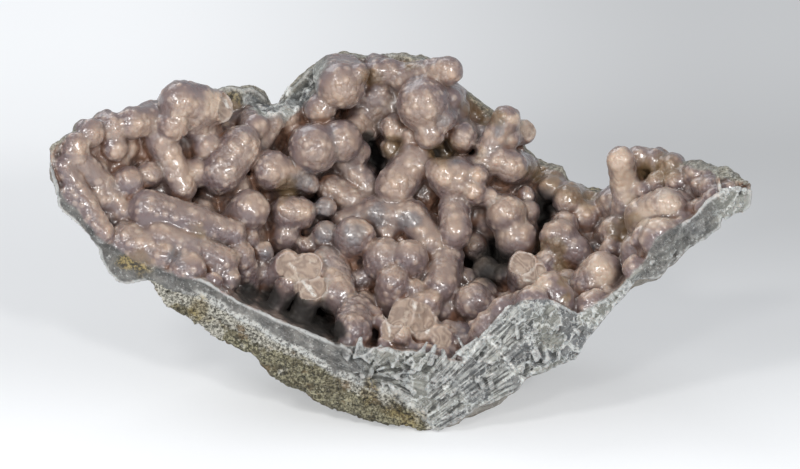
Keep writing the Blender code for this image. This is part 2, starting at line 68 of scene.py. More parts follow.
# Sections of the crust, at these places along x
STATION_X = [-69.6, -60, -50, -40, -30, -20, -10, 0, 8, 16, 24, 32, 40, 50, 60, 69.8]
FRONT_RIM_Y = [-11, -13, -16, -20, -23.5, -26, -28, -29.5, -30, -30, -29, -27, -25, -22, -18, -15]
BACK_RIM_Y = [-9, 1, 9, 15, 19, 23, 25, 26, 25, 23, 21, 18, 14, 8, -1, -13]
BED_PULL_Z = [46, 38, 32, 24, 14, 7, 3, 2, 2, 3, 6, 11, 19, 29, 37, 45]
UNDER_PULL_Z = [44, 34, 27, 16, 3, -8, -13, -14, -14, -12, -6, 1, 11, 20.5, 31, 42]
BACK_PULL_Z = [44, 40, 38, 31, 21, 11, 5, 4, 4, 5, 8, 14, 23, 32, 39, 44]
BACK_WALL = [1.5, 3, 4, 4.5, 5, 5, 5, 5, 5, 5, 5, 4.5, 4.5, 4, 3, 1.5]
END_X = 69.6

# Lower edge of the broken front rim: (x, h)
RIM_LOWER = [
    (-69.6, 53.4), (-68.9, 51), (-68.5, 48.5), (-68.2, 45.4), (-67.6, 44), (-66.6, 43.2), (-62.6, 39.8),
    (-60, 36.4), (-59, 32.6), (-57.8, 30.8), (-55, 29), (-52, 29.4), (-49.6, 29.4), (-48, 27),
    (-46.4, 25), (-43.6, 23), (-40, 20.6), (-34, 17.4), (-28.6, 14.4), (-25.2, 10.6), (-20.4, 8.8),
    (-14.8, 5.4), (-10.8, 3.8), (-7, 2.6), (-1.6, 2), (4, 0.6), (8.2, 0), (13.4, 3.8), (19.8, 6.4),
    (23.4, 8.2), (25.2, 11), (31.4, 13.6), (35, 14.8), (37.4, 19), (42.2, 24.8), (46.4, 29.6),
    (51.4, 30.6), (53, 33), (58, 37), (62.6, 40), (68.6, 44), (69.8, 45.2),
]

# Upper edge of the broken front rim, where the bed begins: (x, h)
RIM_UPPER = [
    (-69.6, 55), (-68.6, 52), (-67.4, 47.6), (-66, 45.8), (-62, 41.6), (-58, 37.5), (-54, 35),
    (-50, 33), (-45, 31.6), (-39, 30.4), (-32, 26.2), (-24, 22.6), (-16.4, 19.4), (-12, 17.4),
    (-5.6, 17), (4, 16.2), (9, 15), (12, 14.4), (16.4, 19.8), (21, 25.2), (30, 26.6), (35, 23.8),
    (38, 24.4), (44, 29.2), (48, 33.8), (50.5, 38.2), (58, 43.2), (61, 46.6), (64, 48.4), (68.2, 49),
    (69.8, 48.6),
]

# Top edge of the crust: (x, h)
RIM_TOP = [
    (-69.6, 56.8), (-68.6, 57.4), (-67.4, 58), (-64, 60.4), (-58, 62.4), (-52, 64.6), (-47.8, 66.4),
    (-41, 66.6), (-35, 68.6), (-30, 69), (-27.2, 67), (-26.4, 65), (-25, 65.4), (-22, 69), (-18, 72.6),
    (-14, 74.8), (-11.8, 75.6), (0, 75.2), (7, 74), (11, 69.5), (13, 68.6), (16, 65.6), (19.6, 62.6),
    (22, 61.6), (24.5, 60.4), (25.4, 56.2), (28.2, 54), (33.2, 52.4), (34, 50), (37.8, 48.8),
    (39.4, 47), (42, 47), (45, 51), (49.4, 54.6), (54, 54.4), (57, 52.6), (62, 52), (64.8, 50.6),
    (68.2, 50), (69.8, 49.6),
]

# Fingers and lobes: each is a run of points (x, h, radius, lift), tip last or only point.
# Lift is how far a point stands off the bed towards the front.
LOBES_LEFT = [
    [(-40, 60, 4.0, 4), (-44, 66.0, 3.8, 8)], [(-41.4, 65.2, 4.1, 7.5), (-36.8, 64.8, 3.1, 8)],
    [(-45.6, 61.2, 2.9, 9)], [(-49.5, 62.2, 2.6, 4), (-53.5, 61.6, 2.9, 5)], [(-62, 59.6, 2.8, 2)],
    [(-57.6, 60.6, 2.8, 2.5)], [(-64.8, 57, 2.4, 2)], [(-57.2, 56.6, 2.5, 4)],
    [(-65, 55.6, 2.2, 2), (-60, 49.6, 2.3, 3), (-55, 43.2, 2.2, 3)],
    [(-67, 52.8, 1.8, 1), (-63, 46, 2.0, 2), (-59, 39.6, 1.9, 1.5)], [(-54.4, 49.8, 2.9, 6)],
    [(-50.4, 51.2, 2.5, 6.5)], [(-48, 58.2, 2.9, 6), (-44, 48.6, 2.8, 7)], [(-39, 57.2, 2.7, 8)],
    [(-41, 51.8, 2.7, 7.5)], [(-35.8, 51.6, 3.7, 10), (-32.2, 57, 3.9, 10)],
    [(-25.8, 62, 2.0, 6), (-30.2, 54, 2.1, 7)],
    [(-50, 43.8, 4.0, 7), (-41, 41.4, 3.4, 10), (-33.4, 39.4, 2.4, 12)],
    [(-48, 38.2, 3.2, 5), (-35.6, 33.8, 3.0, 8)], [(-34, 30.2, 2.0, 5)], [(-30.2, 44.2, 3.7, 13)],
    [(-26, 52.2, 3.5, 12), (-20.4, 50.8, 2.4, 10)], [(-30.4, 38.6, 1.9, 10)], [(-27.6, 35.8, 1.9, 9)],
    [(-22.6, 43.6, 3.0, 11), (-20.2, 43.6, 3.0, 11)], [(-18.4, 49.6, 1.9, 10)], [(-23, 48.2, 2.3, 8)],
    [(-15, 44.8, 1.9, 11)], [(-15, 39.4, 2.4, 12)], [(-15, 34, 2.6, 12)], [(-23, 39, 2.6, 9)],
    [(-18.6, 37, 1.8, 9)], [(-28, 31.4, 2.4, 4)], [(-22.6, 33.6, 2.4, 12)], [(-22.2, 29.6, 2.0, 13)],
    [(-17.2, 28.6, 2.3, 13)], [(-18.2, 32.8, 2.6, 13)], [(-14.4, 37.2, 3.0, 8), (-12.6, 27, 3.6, 11)],
]
LOBES_CENTRE = [
    [(-12, 69.4, 4.5, 7)], [(-8.4, 71.8, 1.8, 8)], [(-16, 64.6, 2.9, 7)], [(-17.4, 56.6, 4.6, 12)],
    [(-12, 58.2, 3.9, 11)], [(-11, 54.2, 2.7, 6), (-4, 45.4, 2.7, 8)],
    [(-14, 48.6, 2.6, 7), (-7, 44.4, 2.7, 9)], [(-4.4, 72, 2.4, 4), (-2.2, 72.4, 2.4, 4)],
    [(-8, 64.2, 2.8, 2), (0, 66.6, 2.8, 3)], [(1, 71, 2.7, 4), (9.8, 72.4, 2.6, 8)],
    [(4.6, 65.4, 4.9, 12)], [(6, 59.6, 2.8, 13)], [(9, 62.2, 1.8, 13)], [(10, 66.6, 2.3, 8)],
    [(-1.6, 56.8, 2.1, 6)], [(-6, 60.2, 1.7, 4)], [(3, 54, 3.6, 10), (-1, 48.8, 3.7, 12)],
    [(12.6, 59, 2.9, 8)], [(21.4, 62.4, 2.4, 8), (18, 56.4, 2.4, 9)], [(22.4, 58.8, 1.8, 8)],
    [(25, 60, 2.2, 3)], [(11, 50.4, 4.3, 13)], [(8.8, 51.4, 2.9, 15)], [(7.2, 52.6, 1.8, 14)],
    [(15.6, 51.2, 1.8, 14)], [(15, 47.8, 2.1, 14)], [(14.4, 52.2, 2.5, 9), (20, 54.2, 2.5, 10)],
    [(22.4, 53, 3.1, 9)], [(11, 44.4, 2.8, 13), (11.2, 39.6, 2.9, 15)], [(18, 46.8, 1.8, 12)],
    [(21.4, 43.4, 3.7, 10)], [(26, 43.8, 2.1, 8)], [(25.6, 47.2, 1.6, 7)], [(23.6, 38.4, 4.0, 7)],
    [(14.6, 37.2, 2.5, 7)], [(17.4, 32.2, 2.5, 4)], [(21, 31.2, 1.9, 3)], [(-9.4, 39, 3.5, 15)],
    [(-6.6, 39.8, 1.4, 17)],
    [(-11, 41.6, 2.4, 9), (-5, 43.4, 3.0, 11), (2.4, 42.6, 3.2, 12), (6, 37.4, 2.9, 13)],
    [(-2, 44.4, 2.6, 7), (-4, 39.2, 2.6, 6)], [(-3, 39.6, 2.2, 12)], [(2, 34.8, 3.2, 17)],
    [(-3, 34.2, 4.1, 14)], [(-1.4, 29.6, 3.1, 15)], [(9, 34.8, 3.3, 11), (8.2, 28.8, 3.4, 13)],
    [(3, 28.2, 1.8, 14)], [(6, 25.6, 2.3, 13)], [(14.8, 25.8, 3.5, 11)],
    [(-9, 23.4, 3.4, 9), (-9.4, 19.8, 3.4, 9)], [(1.6, 22.6, 3.6, 11)], [(-1.4, 20.4, 2.4, 10)],
    [(-5, 23.2, 1.5, 10)], [(4.8, 19.8, 2.0, 9)], [(8, 18.8, 2.4, 8)], [(12, 18.2, 3.4, 5)],
]
LOBES_RIGHT = [
    [(25.2, 31.8, 3.4, 8)], [(32, 38.6, 3.5, 11)], [(35.2, 36.2, 2.8, 10)], [(30.2, 34, 2.5, 8)],
    [(31.6, 32, 2.0, 4), (33, 25.6, 2.1, 5)], [(38.4, 29.2, 3.9, 8), (40.2, 31.8, 3.8, 11)],
    [(37.6, 42.8, 3.2, 5)], [(33, 41.2, 2.5, 9)], [(43.4, 39.8, 3.1, 6)], [(42.4, 36.2, 2.2, 7)],
    [(49, 42.6, 3.7, 10), (53, 44.8, 3.6, 11)],
    [(45.8, 44.6, 2.8, 6), (45.2, 49.8, 2.6, 8.5), (44.2, 54.3, 2.5, 11)], [(48.4, 48.2, 1.6, 7)],
    [(47.8, 54.6, 2.3, 3)], [(51.4, 54, 2.3, 1.5)], [(54.6, 53, 2.3, 1.5)], [(51.6, 49.8, 2.1, 3.5)],
    [(55.4, 49.8, 2.2, 3)], [(46.4, 32.8, 2.2, 5)], [(34.4, 25.6, 2.2, 5)], [(62, 48.4, 2.4, 2.5)],
]

# Shorter fingers that fill the bed behind the measured ones
FILL_SPACING = (4.3, 4.3)
FILL_RADIUS = (2.2, 3.3)
FILL_LIFT = (2.5, 9.5)
SIDE_LOBES_PER_FINGER = 3
KNOBS_PER_FINGER = 5

# Lobes and small balls between and behind the fingers
BACK_LOBES = 1500
BACK_LOBE_RADIUS = (1.7, 3.1)
BACK_LOBE_LIFT = (1.0, 9.0)
BEADS = 900
BEAD_RADIUS = (1.0, 2.0)

# Low swellings that join neighbouring lobes: (x, h, radius, lift)
EXTRA_LOBES = [
    (-19.8, 31.2, 3.4, 12.4), (25.6, 30.0, 2.8, 7.0), (-3.6, 21.8, 1.7, 11.2), (0.2, 19.0, 2.0, 10.6),
    (3.2, 25.4, 1.9, 13.2), (6.2, 21.6, 1.8, 10.4), (9.6, 20.4, 1.8, 9.6), (24.2, 34.2, 1.9, 9.6),
    (28.4, 32.4, 1.8, 9.4), (-4.4, 67.6, 3.4, 3.0), (-1.0, 65.0, 3.4, 3.0), (-7.4, 63.4, 3.0, 3.0),
    (0.6, 70.4, 3.0, 2.6), (-3.0, 61.6, 2.8, 2.6),
]

# Lobes that lost a piece: (x, h, lift of the break, reach, lean to the right, lean upwards)
CHIPS = [
    (-21.4, 32.6, 13.8, 3.2, -0.25, 0.2), (-18.4, 29.6, 14.0, 3.2, 0.35, 0.1),
    (-35.0, 64.6, 8.6, 3.0, 0.9, 0.3), (0.6, 23.6, 13.3, 3.2, -0.45, 0.35),
    (3.4, 23.0, 13.3, 3.0, 0.6, 0.1), (-1.4, 20.4, 11.6, 2.2, -0.3, 0.1),
    (4.8, 19.8, 10.6, 2.0, -0.3, 0.5), (8.0, 18.8, 9.8, 2.2, 0.3, 0.2),
    (-18.6, 32.8, 14.3, 2.6, 0.2, 0.4), (26.4, 60.4, 3.6, 2.4, 0.9, 0.2),
    (24.6, 33.2, 10.2, 2.4, -0.3, 0.5), (27.0, 31.0, 10.0, 2.4, 0.3, 0.1),
]

# Hollows that stay open between the fingers, painted near-black as shade: (x, h, radius)
HOLLOWS = [
    (-5, 54.6, 3.2), (-6.4, 58.4, 2.2), (17.8, 34, 5.6), (-30, 27.6, 2.4), (-26, 26.2, 3.4),
    (-21, 24.2, 4.2), (-16.5, 21.6, 4.0), (-12.8, 19.8, 2.6), (6.6, 55, 2.4), (28.6, 42.6, 2.2),
    (29, 46.4, 2.6), (-48, 53.8, 2.0),
]

# Bare crust along the notched top edge: (x, h, radius)
BARE = [
    (-34, 65.8, 3.2), (-30, 65, 2.8), (-26.2, 64.8, 2.4), (-24.4, 67, 2.2), (-21.6, 70, 2.2),
    (-18.6, 72.8, 2.0), (-22.8, 65, 2.4), (-20.4, 67.4, 2.6), (-17.6, 70.6, 2.0),
]

# Width of the broken band below the notched top edge, at these places along x
NOTCH_BAND = ([-37, -32, -27, -22, -16, -11], [0, 3.0, 5.4, 6.2, 4.4, 0])

# Splinters standing on the broken rim: (x, h, length, width, lean in degrees, how far forward)
SPLINTERS = [
    (4.5, 15, 8, 3.4, 35, 0.6), (10, 13, 10, 3.6, 52, 0.5), (15.5, 14, 13, 6, -24, 0),
    (18, 15, 12, 7, 24, 0), (22.5, 18, 14, 8, 50, 0), (27, 20, 14, 8, -18, 0),
    (31.5, 19.5, 12, 7, 62, 0), (21, 10.6, 11, 6, 66, 0.2), (28, 15.4, 11, 6, 76, 0),
    (34.6, 19, 9, 6, 20, 0),
]

# Pointed plates that stand up from the broken edge: (x, h, length, width, lean)
RIM_PLATES = [
    (-11.0, 16.4, 3.6, 2.6, -52), (-8.0, 17.0, 4.4, 2.2, 10), (-5.4, 15.8, 4.4, 2.8, 58),
    (-1.6, 15.4, 3.6, 3.0, -40), (3.2, 15.0, 4.6, 2.4, 48), (6.4, 15.6, 4.4, 1.4, 16),
    (8.8, 14.8, 4.2, 1.6, -12), (13.6, 17.0, 5.0, 2.4, 50),
]

# Lumps in the broken edge near the right end: (x, h, radius)
RIM_LUMPS = [(64.6, 44.4, 1.7), (66.0, 45.2, 1.8), (67.4, 46.0, 1.7)]

# Flat splinters all over the broken rim: their size, number and strength in two layers,
# and how their length and their roughness change along x
FACET_LAYERS = ((1.5, 550, 0.62), (0.6, 2200, 0.42))
FACET_LENGTH = ([2, 8, 22, 28], [5.0, 9.0, 9.0, 5.0])
FACET_ROUGHNESS = ([-60, -20, -8, 4, 16, 44, 64], [0.1, 0.13, 0.5, 0.6, 0.75, 0.55, 0.4])
FINE_BLADES = 140

# Host rock: where its top shows on the broken rim (0 at the upper edge, 1 at the lower one),
# and how far it reaches into the stone underneath
ROCK_X = [-58, -54, -50, -44, -36, -28, -18, -8, 0, 5, 9, 13]
ROCK_TOP = [1.4, 1.15, 0.66, 0.44, 0.38, 0.36, 0.42, 0.54, 0.68, 0.85, 1.15, 1.4]
ROCK_DEPTH = [-2.5, -1, 1.2, 2.6, 3.4, 4.0, 4.4, 4.6, 3.4, 1.6, -1, -2.5]

# Marked places on the face: (x, h, radius)
IRON_PLACES = [
    (-23, 48.5, 2.4), (8, 55.5, 3), (-2, 57, 2.5), (-6, 71, 2), (31, 36.5, 1.8), (31.8, 33, 1.5),
    (32.2, 30, 1.4), (32.6, 27, 1.4), (28.6, 37, 1.8), (45.5, 42, 2.4), (43.4, 39.8, 2),
    (53, 52.6, 3.4), (49.6, 52.4, 2.6), (-52, 34, 2.6), (-54, 33.4, 2.0), (-40, 41, 1.8), (28, 52, 2.6),
    (31, 50.5, 2.6), (35, 48.6, 2.6), (38, 47, 2.4), (15, 65, 2.6), (18, 63, 2.4), (2, 74, 1.8),
    (-33.5, 66.5, 1.6), (-39.5, 24.6, 2.6), (-37, 22.6, 1.8), (-1, 4.4, 2.6), (1.6, 2.6, 2.6),
    (-6, 8.4, 1.8),
]
BLUE_PLACES = [
    (-18.6, 50, 2.2), (-15, 44.6, 2.2), (-15, 39, 2.6), (-9, 40, 2.6), (-5, 43, 2.2), (2, 42, 2.2),
    (-20, 50, 2), (11, 53.6, 1.6), (-26, 36, 1.8), (-45, 35, 2.0), (52, 46, 2), (20, 60, 1.6),
    (9, 62, 1.6),
]
PALE_PLACES = [
    (-20.5, 31.5, 2.6), (-17.5, 28.5, 2.4), (1.6, 22.6, 3.6), (5, 21, 3), (-36.5, 66.2, 2.4),
    (-35.2, 63, 1.8), (27.4, 30.5, 2.6), (25, 62, 2.0), (44, 54, 2.6), (45, 50, 2.6), (46, 46, 2.2),
    (49.5, 43, 3.4), (52.8, 44.8, 3.2), (40.2, 31.4, 3.0), (-37, 65, 2.8),
]

# White crushed lines, as runs of (x, h)
WHITE_LINES = [
    [(-22, 33.4), (-20.4, 31.4), (-19, 29.4), (-17.2, 27.2)], [(-37.6, 68.4), (-36, 67), (-34.6, 65)],
    [(-28.6, 65.4), (-26.4, 63.8), (-24.4, 63.6), (-21.6, 62.8), (-20.8, 65), (-19.6, 67.6), (-17, 71)],
    [(-26, 65), (-24.2, 66.4), (-22.4, 69)], [(-3.4, 24), (-2, 20), (-2.4, 17.4)],
    [(2.6, 25.6), (4.4, 22), (6.4, 18)], [(22.4, 33.4), (24.6, 30.4), (27.6, 29.6)],
    [(16.4, 20), (22.4, 13), (24.4, 10.4)], [(17, 20), (13.4, 15), (9, 9)],
]

# Random fields in layers: (grain size, seed, strength)
GRAIN = ((2.4, 31, 0.5), (1.1, 32, 0.28))
OUTSIDE_LUMPS = ((6.5, 39, 0.75), (2.8, 40, 0.4))
CHIP_GRAIN = ((2.6, 37, 0.55), (1.1, 38, 0.22))
CRUMBS = ((0.95, 75, 0.24), (2.1, 76, 0.16))

# Grapelike relief on the fingers, and the relief of pits and white lines
GRAPE_SIZE = 1.9
GRAPE_RELIEF = 0.24
LUMP_RELIEF = 0.2
PIT_DEPTH = 0.35
LINE_RELIEF = 0.3

# How much thicker the visible fingers are than their measured paths
SWELLING = 0.22

# Softness of the joins between lobes, beads and splinters
LOBE_BLEND = 0.9
BEAD_BLEND = 0.7
BLADE_BLEND = 0.25

# Owners of a place that is on no finger
NO_FINGER = -1
ON_RIM = -2

# Grid of the distance field, in millimetres
STEP = 0.36
LOW = np.array([-71.5, -35.2, -1.3])
SPAN = np.array([143.0, 70.0, 68.4])
COUNT = [int(n) // 2 * 2 + 1 for n in SPAN / STEP + 1]

# Level of the foot, and how far the relief may go past the part's box
FOOT_LEVEL = 0.0
BOX_SLACK = 0.3

# Visible pieces, in the order of their numbers
PIECES = ["fingers_left", "fingers_centre", "fingers_right", "crust", "host_rock_rind", "crust_outside"]

# Colour of crushed crystals where rock and chalcedony meet
SUGARY = (0.62, 0.62, 0.59)

# Paper under the stone: metres, share of light reflected, own painted glow
FLOOR_SIDE = 8.0
PAPER_TINT = (0.985, 1.0, 1.02)
PAPER_SHARE = 0.61
PAPER_GLOW = 0.40

# Lamps: (name, place, target, size, power, colour)
LAMPS = [
    ("key", (-0.36, -0.5, 0.6), (0, 0, 0.03), (0.12, 0.12), 1.6, (1.0, 0.985, 0.96)),
    ("left_front", (-0.26, -0.78, 0.42), (0, 0, 0.03), (0.09, 0.09), 1.8, (1.0, 0.985, 0.96)),
    ("right_front", (0.30, -0.76, 0.44), (0, 0, 0.03), (0.09, 0.09), 3.2, (1.0, 0.99, 0.97)),
    ("overhead", (-0.3, 0.4, 0.6), (-0.1, 0.1, 0.0), (0.5, 0.4), 1.6, (0.97, 0.985, 1.0)),
]
SKY_COLOUR = (0.93, 0.96, 1.0, 1.0)
SKY_STRENGTH = 0.44

# Camera: lens and sensor in millimetres; width and middle of the picture on the face, and how
# much nearer than that width asks for it stands, in metres
LENS = 300.0
SENSOR = 36.0
PICTURE_WIDTH = 0.160
PICTURE_MIDDLE = 0.0393
CAMERA_NEARER = 0.012


def spline(x, knots, values):
    """Smooth curve through given values."""
    knots = np.asarray(knots, float)
    values = np.asarray(values, float)
    slopes = np.gradient(values, knots)
    i = int(np.clip(np.searchsorted(knots, x) - 1, 0, len(knots) - 2))
    w = knots[i + 1] - knots[i]
    s = min(max((x - knots[i]) / w, 0.0), 1.0)
    a = 2 * s**3 - 3 * s**2 + 1
    b = s**3 - 2 * s**2 + s
    c = -2 * s**3 + 3 * s**2
    d = s**3 - s**2
    return a * values[i] + b * w * slopes[i] + c * values[i + 1] + d * w * slopes[i + 1]


def along(x, points):
    """Straight runs through measured (x, h) points."""
    xs, hs = zip(*points)
    return float(np.interp(x, xs, hs))


def z_of(h, y):
    return (h - (y - FRONT_Y) * math.sin(LOOK_DOWN)) / math.cos(LOOK_DOWN)


def h_of(y, z):
    return (y - FRONT_Y) * math.sin(LOOK_DOWN) + z * math.cos(LOOK_DOWN)


def face_h(points):
    return h_of(points[:, 1], points[:, 2])


TOWARDS_FRONT = np.array([0.0, -math.cos(LOOK_DOWN), math.sin(LOOK_DOWN)])


def bezier(points, steps):
    """Cubic curve in the (y, z) plane."""
    p = np.asarray(points, float)
    t = np.linspace(0.0, 1.0, steps)[:, None]
    return (1 - t) ** 3 * p[0] + 3 * t * (1 - t) ** 2 * p[1] + 3 * t**2 * (1 - t) * p[2] + t**3 * p[3]


def front_y(x):
    """Where the broken front rim stands at x."""
    return spline(x, STATION_X, FRONT_RIM_Y)


def bed_curve(x, steps=28):
    """Inner face of the crust at x, from the front rim to the top."""
    front = front_y(x) + 1.0
    back = spline(x, STATION_X, BACK_RIM_Y)
    start = (front, z_of(along(x, RIM_UPPER), front))
    end = (back, z_of(along(x, RIM_TOP), back))
    pull_1 = (front + 0.6 * (back - front), spline(x, STATION_X, BED_PULL_Z))
    pull_2 = (back + 1.0, 0.72 * start[1] + 0.28 * end[1])
    return bezier([start, pull_1, pull_2, end], steps)


def outer_curve(x, steps=28, inset=0.0):
    """Outer face of the crust at x, from the front rim to the top."""
    front = front_y(x)
    back = spline(x, STATION_X, BACK_RIM_Y)
    wall = spline(x, STATION_X, BACK_WALL)
    start = (front, z_of(along(x, RIM_LOWER), front))
    end = (back + wall, z_of(along(x, RIM_TOP), back) - 0.8)
    pull_1 = (front + 0.7 * (back - front), spline(x, STATION_X, UNDER_PULL_Z))
    pull_2 = (back + wall + 2.5, spline(x, STATION_X, BACK_PULL_Z))
    curve = bezier([start, pull_1, pull_2, end], steps)
    if inset:
        way = np.gradient(curve, axis=0)
        way /= np.linalg.norm(way, axis=1)[:, None]
        curve = curve + np.stack([-way[:, 1], way[:, 0]], axis=1) * inset
    return curve


def bed_points():
    """Points all over the bed, for finding where a finger is rooted."""
    points = []
    for x in np.arange(-69.0, 69.5, 1.0):
        for y, z in bed_curve(x, 48)[2:-1]:
            points.append((x, y, z))
    return np.array(points)


def on_face(x, h, lift):
    """The place at (x, h) on the face that stands off the bed by lift."""
    curve = bed_curve(min(max(x, -69.0), 69.0), 80)
    heights = h_of(curve[:, 0], curve[:, 1])
    crossings = np.nonzero((heights[:-1] < h) & (heights[1:] >= h))[0]
    if len(crossings):
        i = crossings[-1]
        s = (h - heights[i]) / (heights[i + 1] - heights[i])
        y, z = curve[i] + s * (curve[i + 1] - curve[i])
    else:
        end = curve[-1] if h > heights[-1] else curve[0]
        y = end[0]
        z = z_of(h, y)
    return np.array((x, y, z)) + TOWARDS_FRONT * lift


def measured_fingers(roots):
    """Paths of (centre, radius) from the root in the bed to the tip."""
    paths = []
    for lobe in LOBES_LEFT + LOBES_CENTRE + LOBES_RIGHT:
        path = [(on_face(x, h, lift), r * LOBE_GIRTH) for x, h, r, lift in lobe]
        first, first_r = path[0]
        root = roots[np.argmin(((roots - first) ** 2).sum(axis=1))]
        paths.append([(root, first_r * 0.9)] + path)
    return paths


def room_behind(place):
    """How far a place lies in front of the outer face of the crust."""
    back = outer_curve(min(max(place[0], -69.0), 69.0), 60)
    i = int(np.linalg.norm(back - place[1:], axis=1)[1:-1].argmin()) + 1
    way = back[i + 1] - back[i - 1]
    return float(np.dot(place[1:] - back[i], (-way[1], way[0]))) / math.hypot(*way)


def within_crust(path):
    """The same path, no thicker anywhere than the crust behind it can hold."""
    return [(centre, min(r, max(room_behind(centre) - 0.4, 0.8))) for centre, r in path]


def hides_measured(tip, r, tips):
    """Whether a lobe would stand in front of one of the measured tips."""
    for centre, radius in tips:
        apart = math.hypot(tip[0] - centre[0], h_of(tip[1], tip[2]) - h_of(centre[1], centre[2]))
        if apart < radius + 0.5 * r and (tip - centre).dot(TOWARDS_FRONT) > -r:
            return True
    return False


def in_open_place(x, h, margin=0.0):
    """Whether (x, h) is in a hollow, on bare crust, or within a margin of them."""
    return any((x - cx) ** 2 + (h - ch) ** 2 < (r + margin) ** 2 for cx, ch, r in HOLLOWS + BARE)


def lower_at_ends(x):
    """The share of its height that a filler finger has at x."""
    return min(1.0, max(0.2, (64 - abs(x)) / 36))


def fill_fingers(rng, measured):
    """Shorter fingers on a loose lattice over the bed, behind the measured ones."""
    tips = [path[-1] for path in measured]
    paths = []
    step_x, step_s = FILL_SPACING
    for column in range(-16, 17):
        for row in range(24):
            x = column * step_x + rng.uniform(-1.2, 1.2)
            s = (row + 0.7 + 0.5 * (column % 2)) * step_s + rng.uniform(-1.0, 1.0)
            r = rng.uniform(*FILL_RADIUS)
            lift = rng.uniform(*FILL_LIFT) * lower_at_ends(x)
            lift *= min(1.0, 0.1 + s / 18)
            sway = rng.uniform(-1.6, 1.6)
            if abs(x) > 67:
                continue
            curve = bed_curve(x, 60)
            runs = np.linalg.norm(np.diff(curve, axis=0), axis=1)
            reach = np.concatenate([[0.0], np.cumsum(runs)])
            if s > reach[-1] - 1.5:
                continue
            i = int(np.searchsorted(reach, s)) - 1
            way = (curve[i + 1] - curve[i]) / runs[i]
            root = np.array((x, *curve[i]))
            tip = root + np.array((0.0, -way[1], way[0])) * lift + np.array((sway, 0.0, 0.0))
            if in_open_place(tip[0], h_of(tip[1], tip[2])) or hides_measured(tip, r, tips):
                continue
            middle = (root + tip) / 2 - np.array((sway * 0.3, 0.0, 0.0))
            paths.append([(root, r * 1.1), (middle, r), (tip, r)])
    return paths


def tip_of(path):
    """The tip of a finger, its radius and the way that it points."""
    (before, _), (tip, r) = path[-2:]
    return tip, r, (tip - before) / max(np.linalg.norm(tip - before), 1e-6)


def random_side(way, rng, slanting=False):
    """A random direction square to the way of a finger, or slanting along it."""
    side = np.array([rng.gauss(0, 1) for _ in range(3)])
    side -= way * side.dot(way) * (rng.uniform(0.4, 1.0) if slanting else 1.0)
    return side / np.linalg.norm(side)


def side_lobes(path, rng):
    """Small bulges around the tip of a finger."""
    tip, tip_r, way = tip_of(path)
    balls = []
    for _ in range(SIDE_LOBES_PER_FINGER):
        side = random_side(way, rng)
        back = rng.uniform(0.1, 1.4) * tip_r
        r = tip_r * rng.uniform(0.5, 0.7)
        balls.append((tip - way * back + side * (tip_r * rng.uniform(0.5, 0.66)), r))
    return balls


def small_lobes(path, rng):
    """Fine knobs on the upper half of a finger."""
    tip, r, way = tip_of(path)
    knobs = []
    for _ in range(KNOBS_PER_FINGER):
        side = random_side(way, rng, slanting=True)
        size = r * rng.uniform(0.26, 0.42)
        knobs.append((tip - way * rng.uniform(-0.1, 1.6) * r + side * (r - size * 0.75), size))
    return [knob for knob in knobs if room_behind(knob[0]) > knob[1]]


def all_fingers():
    """Every finger as (path, side lobes)."""
    rng = random.Random(SEED)
    measured = measured_fingers(bed_points())
    fingers = []
    for number, path in enumerate(map(within_crust, measured + fill_fingers(rng, measured))):
        balls = [ball for ball in side_lobes(path, rng) if room_behind(ball[0]) > ball[1]]
        fingers.append((path, balls if number >= len(measured) else []))
    return fingers


def grid_axes(every=1):
    return [LOW[i] + STEP * np.arange(0, COUNT[i], every) for i in range(3)]


def blend_min(a, b, k):
    """Union of two fields with a small fillet."""
    h = np.clip(k - np.abs(a - b), 0, None)
    return np.minimum(a, b) - h * h / (4 * k)


def fade(f):
    return f * f * (3 - 2 * f)


def lattice(wave, seed):
    size = [int(s / w) + 4 for s, w in zip(SPAN, wave)]
    return np.random.RandomState(seed).uniform(-1, 1, size).astype(np.float32)


def cloud_grid(axes, wave, seed):
    """Smooth random field over a grid; wave is its grain size along each axis."""
    wave = np.broadcast_to(np.asarray(wave, float), 3)
    values = lattice(wave, seed)
    for axis in range(3):
        place = (axes[axis] - LOW[axis]) / wave[axis] + 0.37
        i = place.astype(int)
        f = fade(place - i).astype(np.float32)
        shape = [1, 1, 1]
        shape[axis] = len(f)
        f = f.reshape(shape)
        values = np.take(values, i, axis) * (1 - f) + np.take(values, i + 1, axis) * f
    return values


def trilinear(grid, i, f):
    """Reading of a grid between its points: i is the lower corner, f the share of the way on."""
    total = 0
    for corner in np.ndindex(2, 2, 2):
        weight = np.prod([f[:, a] if corner[a] else 1 - f[:, a] for a in range(3)], axis=0)
        total = total + weight * grid[i[:, 0] + corner[0], i[:, 1] + corner[1], i[:, 2] + corner[2]]
    return total


def cloud_at(points, wave, seed):
    """The same random field at loose points."""
    wave = np.broadcast_to(np.asarray(wave, float), 3)
    place = (points - LOW) / wave + 0.37
    i = place.astype(int)
    return trilinear(lattice(wave, seed), i, fade(place - i))


def layered(cloud, where, layers):
    """Sum of random fields, each (grain size, seed, strength), over a grid or at loose points."""
    return sum(cloud(where, wave, seed) * strength for wave, seed, strength in layers)


def sample(field, points):
    """Reading of a field of the grid at loose points."""
    place = (points - LOW) / STEP
    i = np.clip(place.astype(int), 0, np.array(COUNT) - 2)
    return trilinear(field, i, np.clip(place - i, 0, 1))


def slope(field, points):
    """Direction in which the field grows, at points."""
    steps = np.eye(3) * STEP * 1.5
    way = np.stack([sample(field, points + s) - sample(field, points - s) for s in steps], axis=1)
    return way / np.maximum(np.linalg.norm(way, axis=1), 1e-6)[:, None]


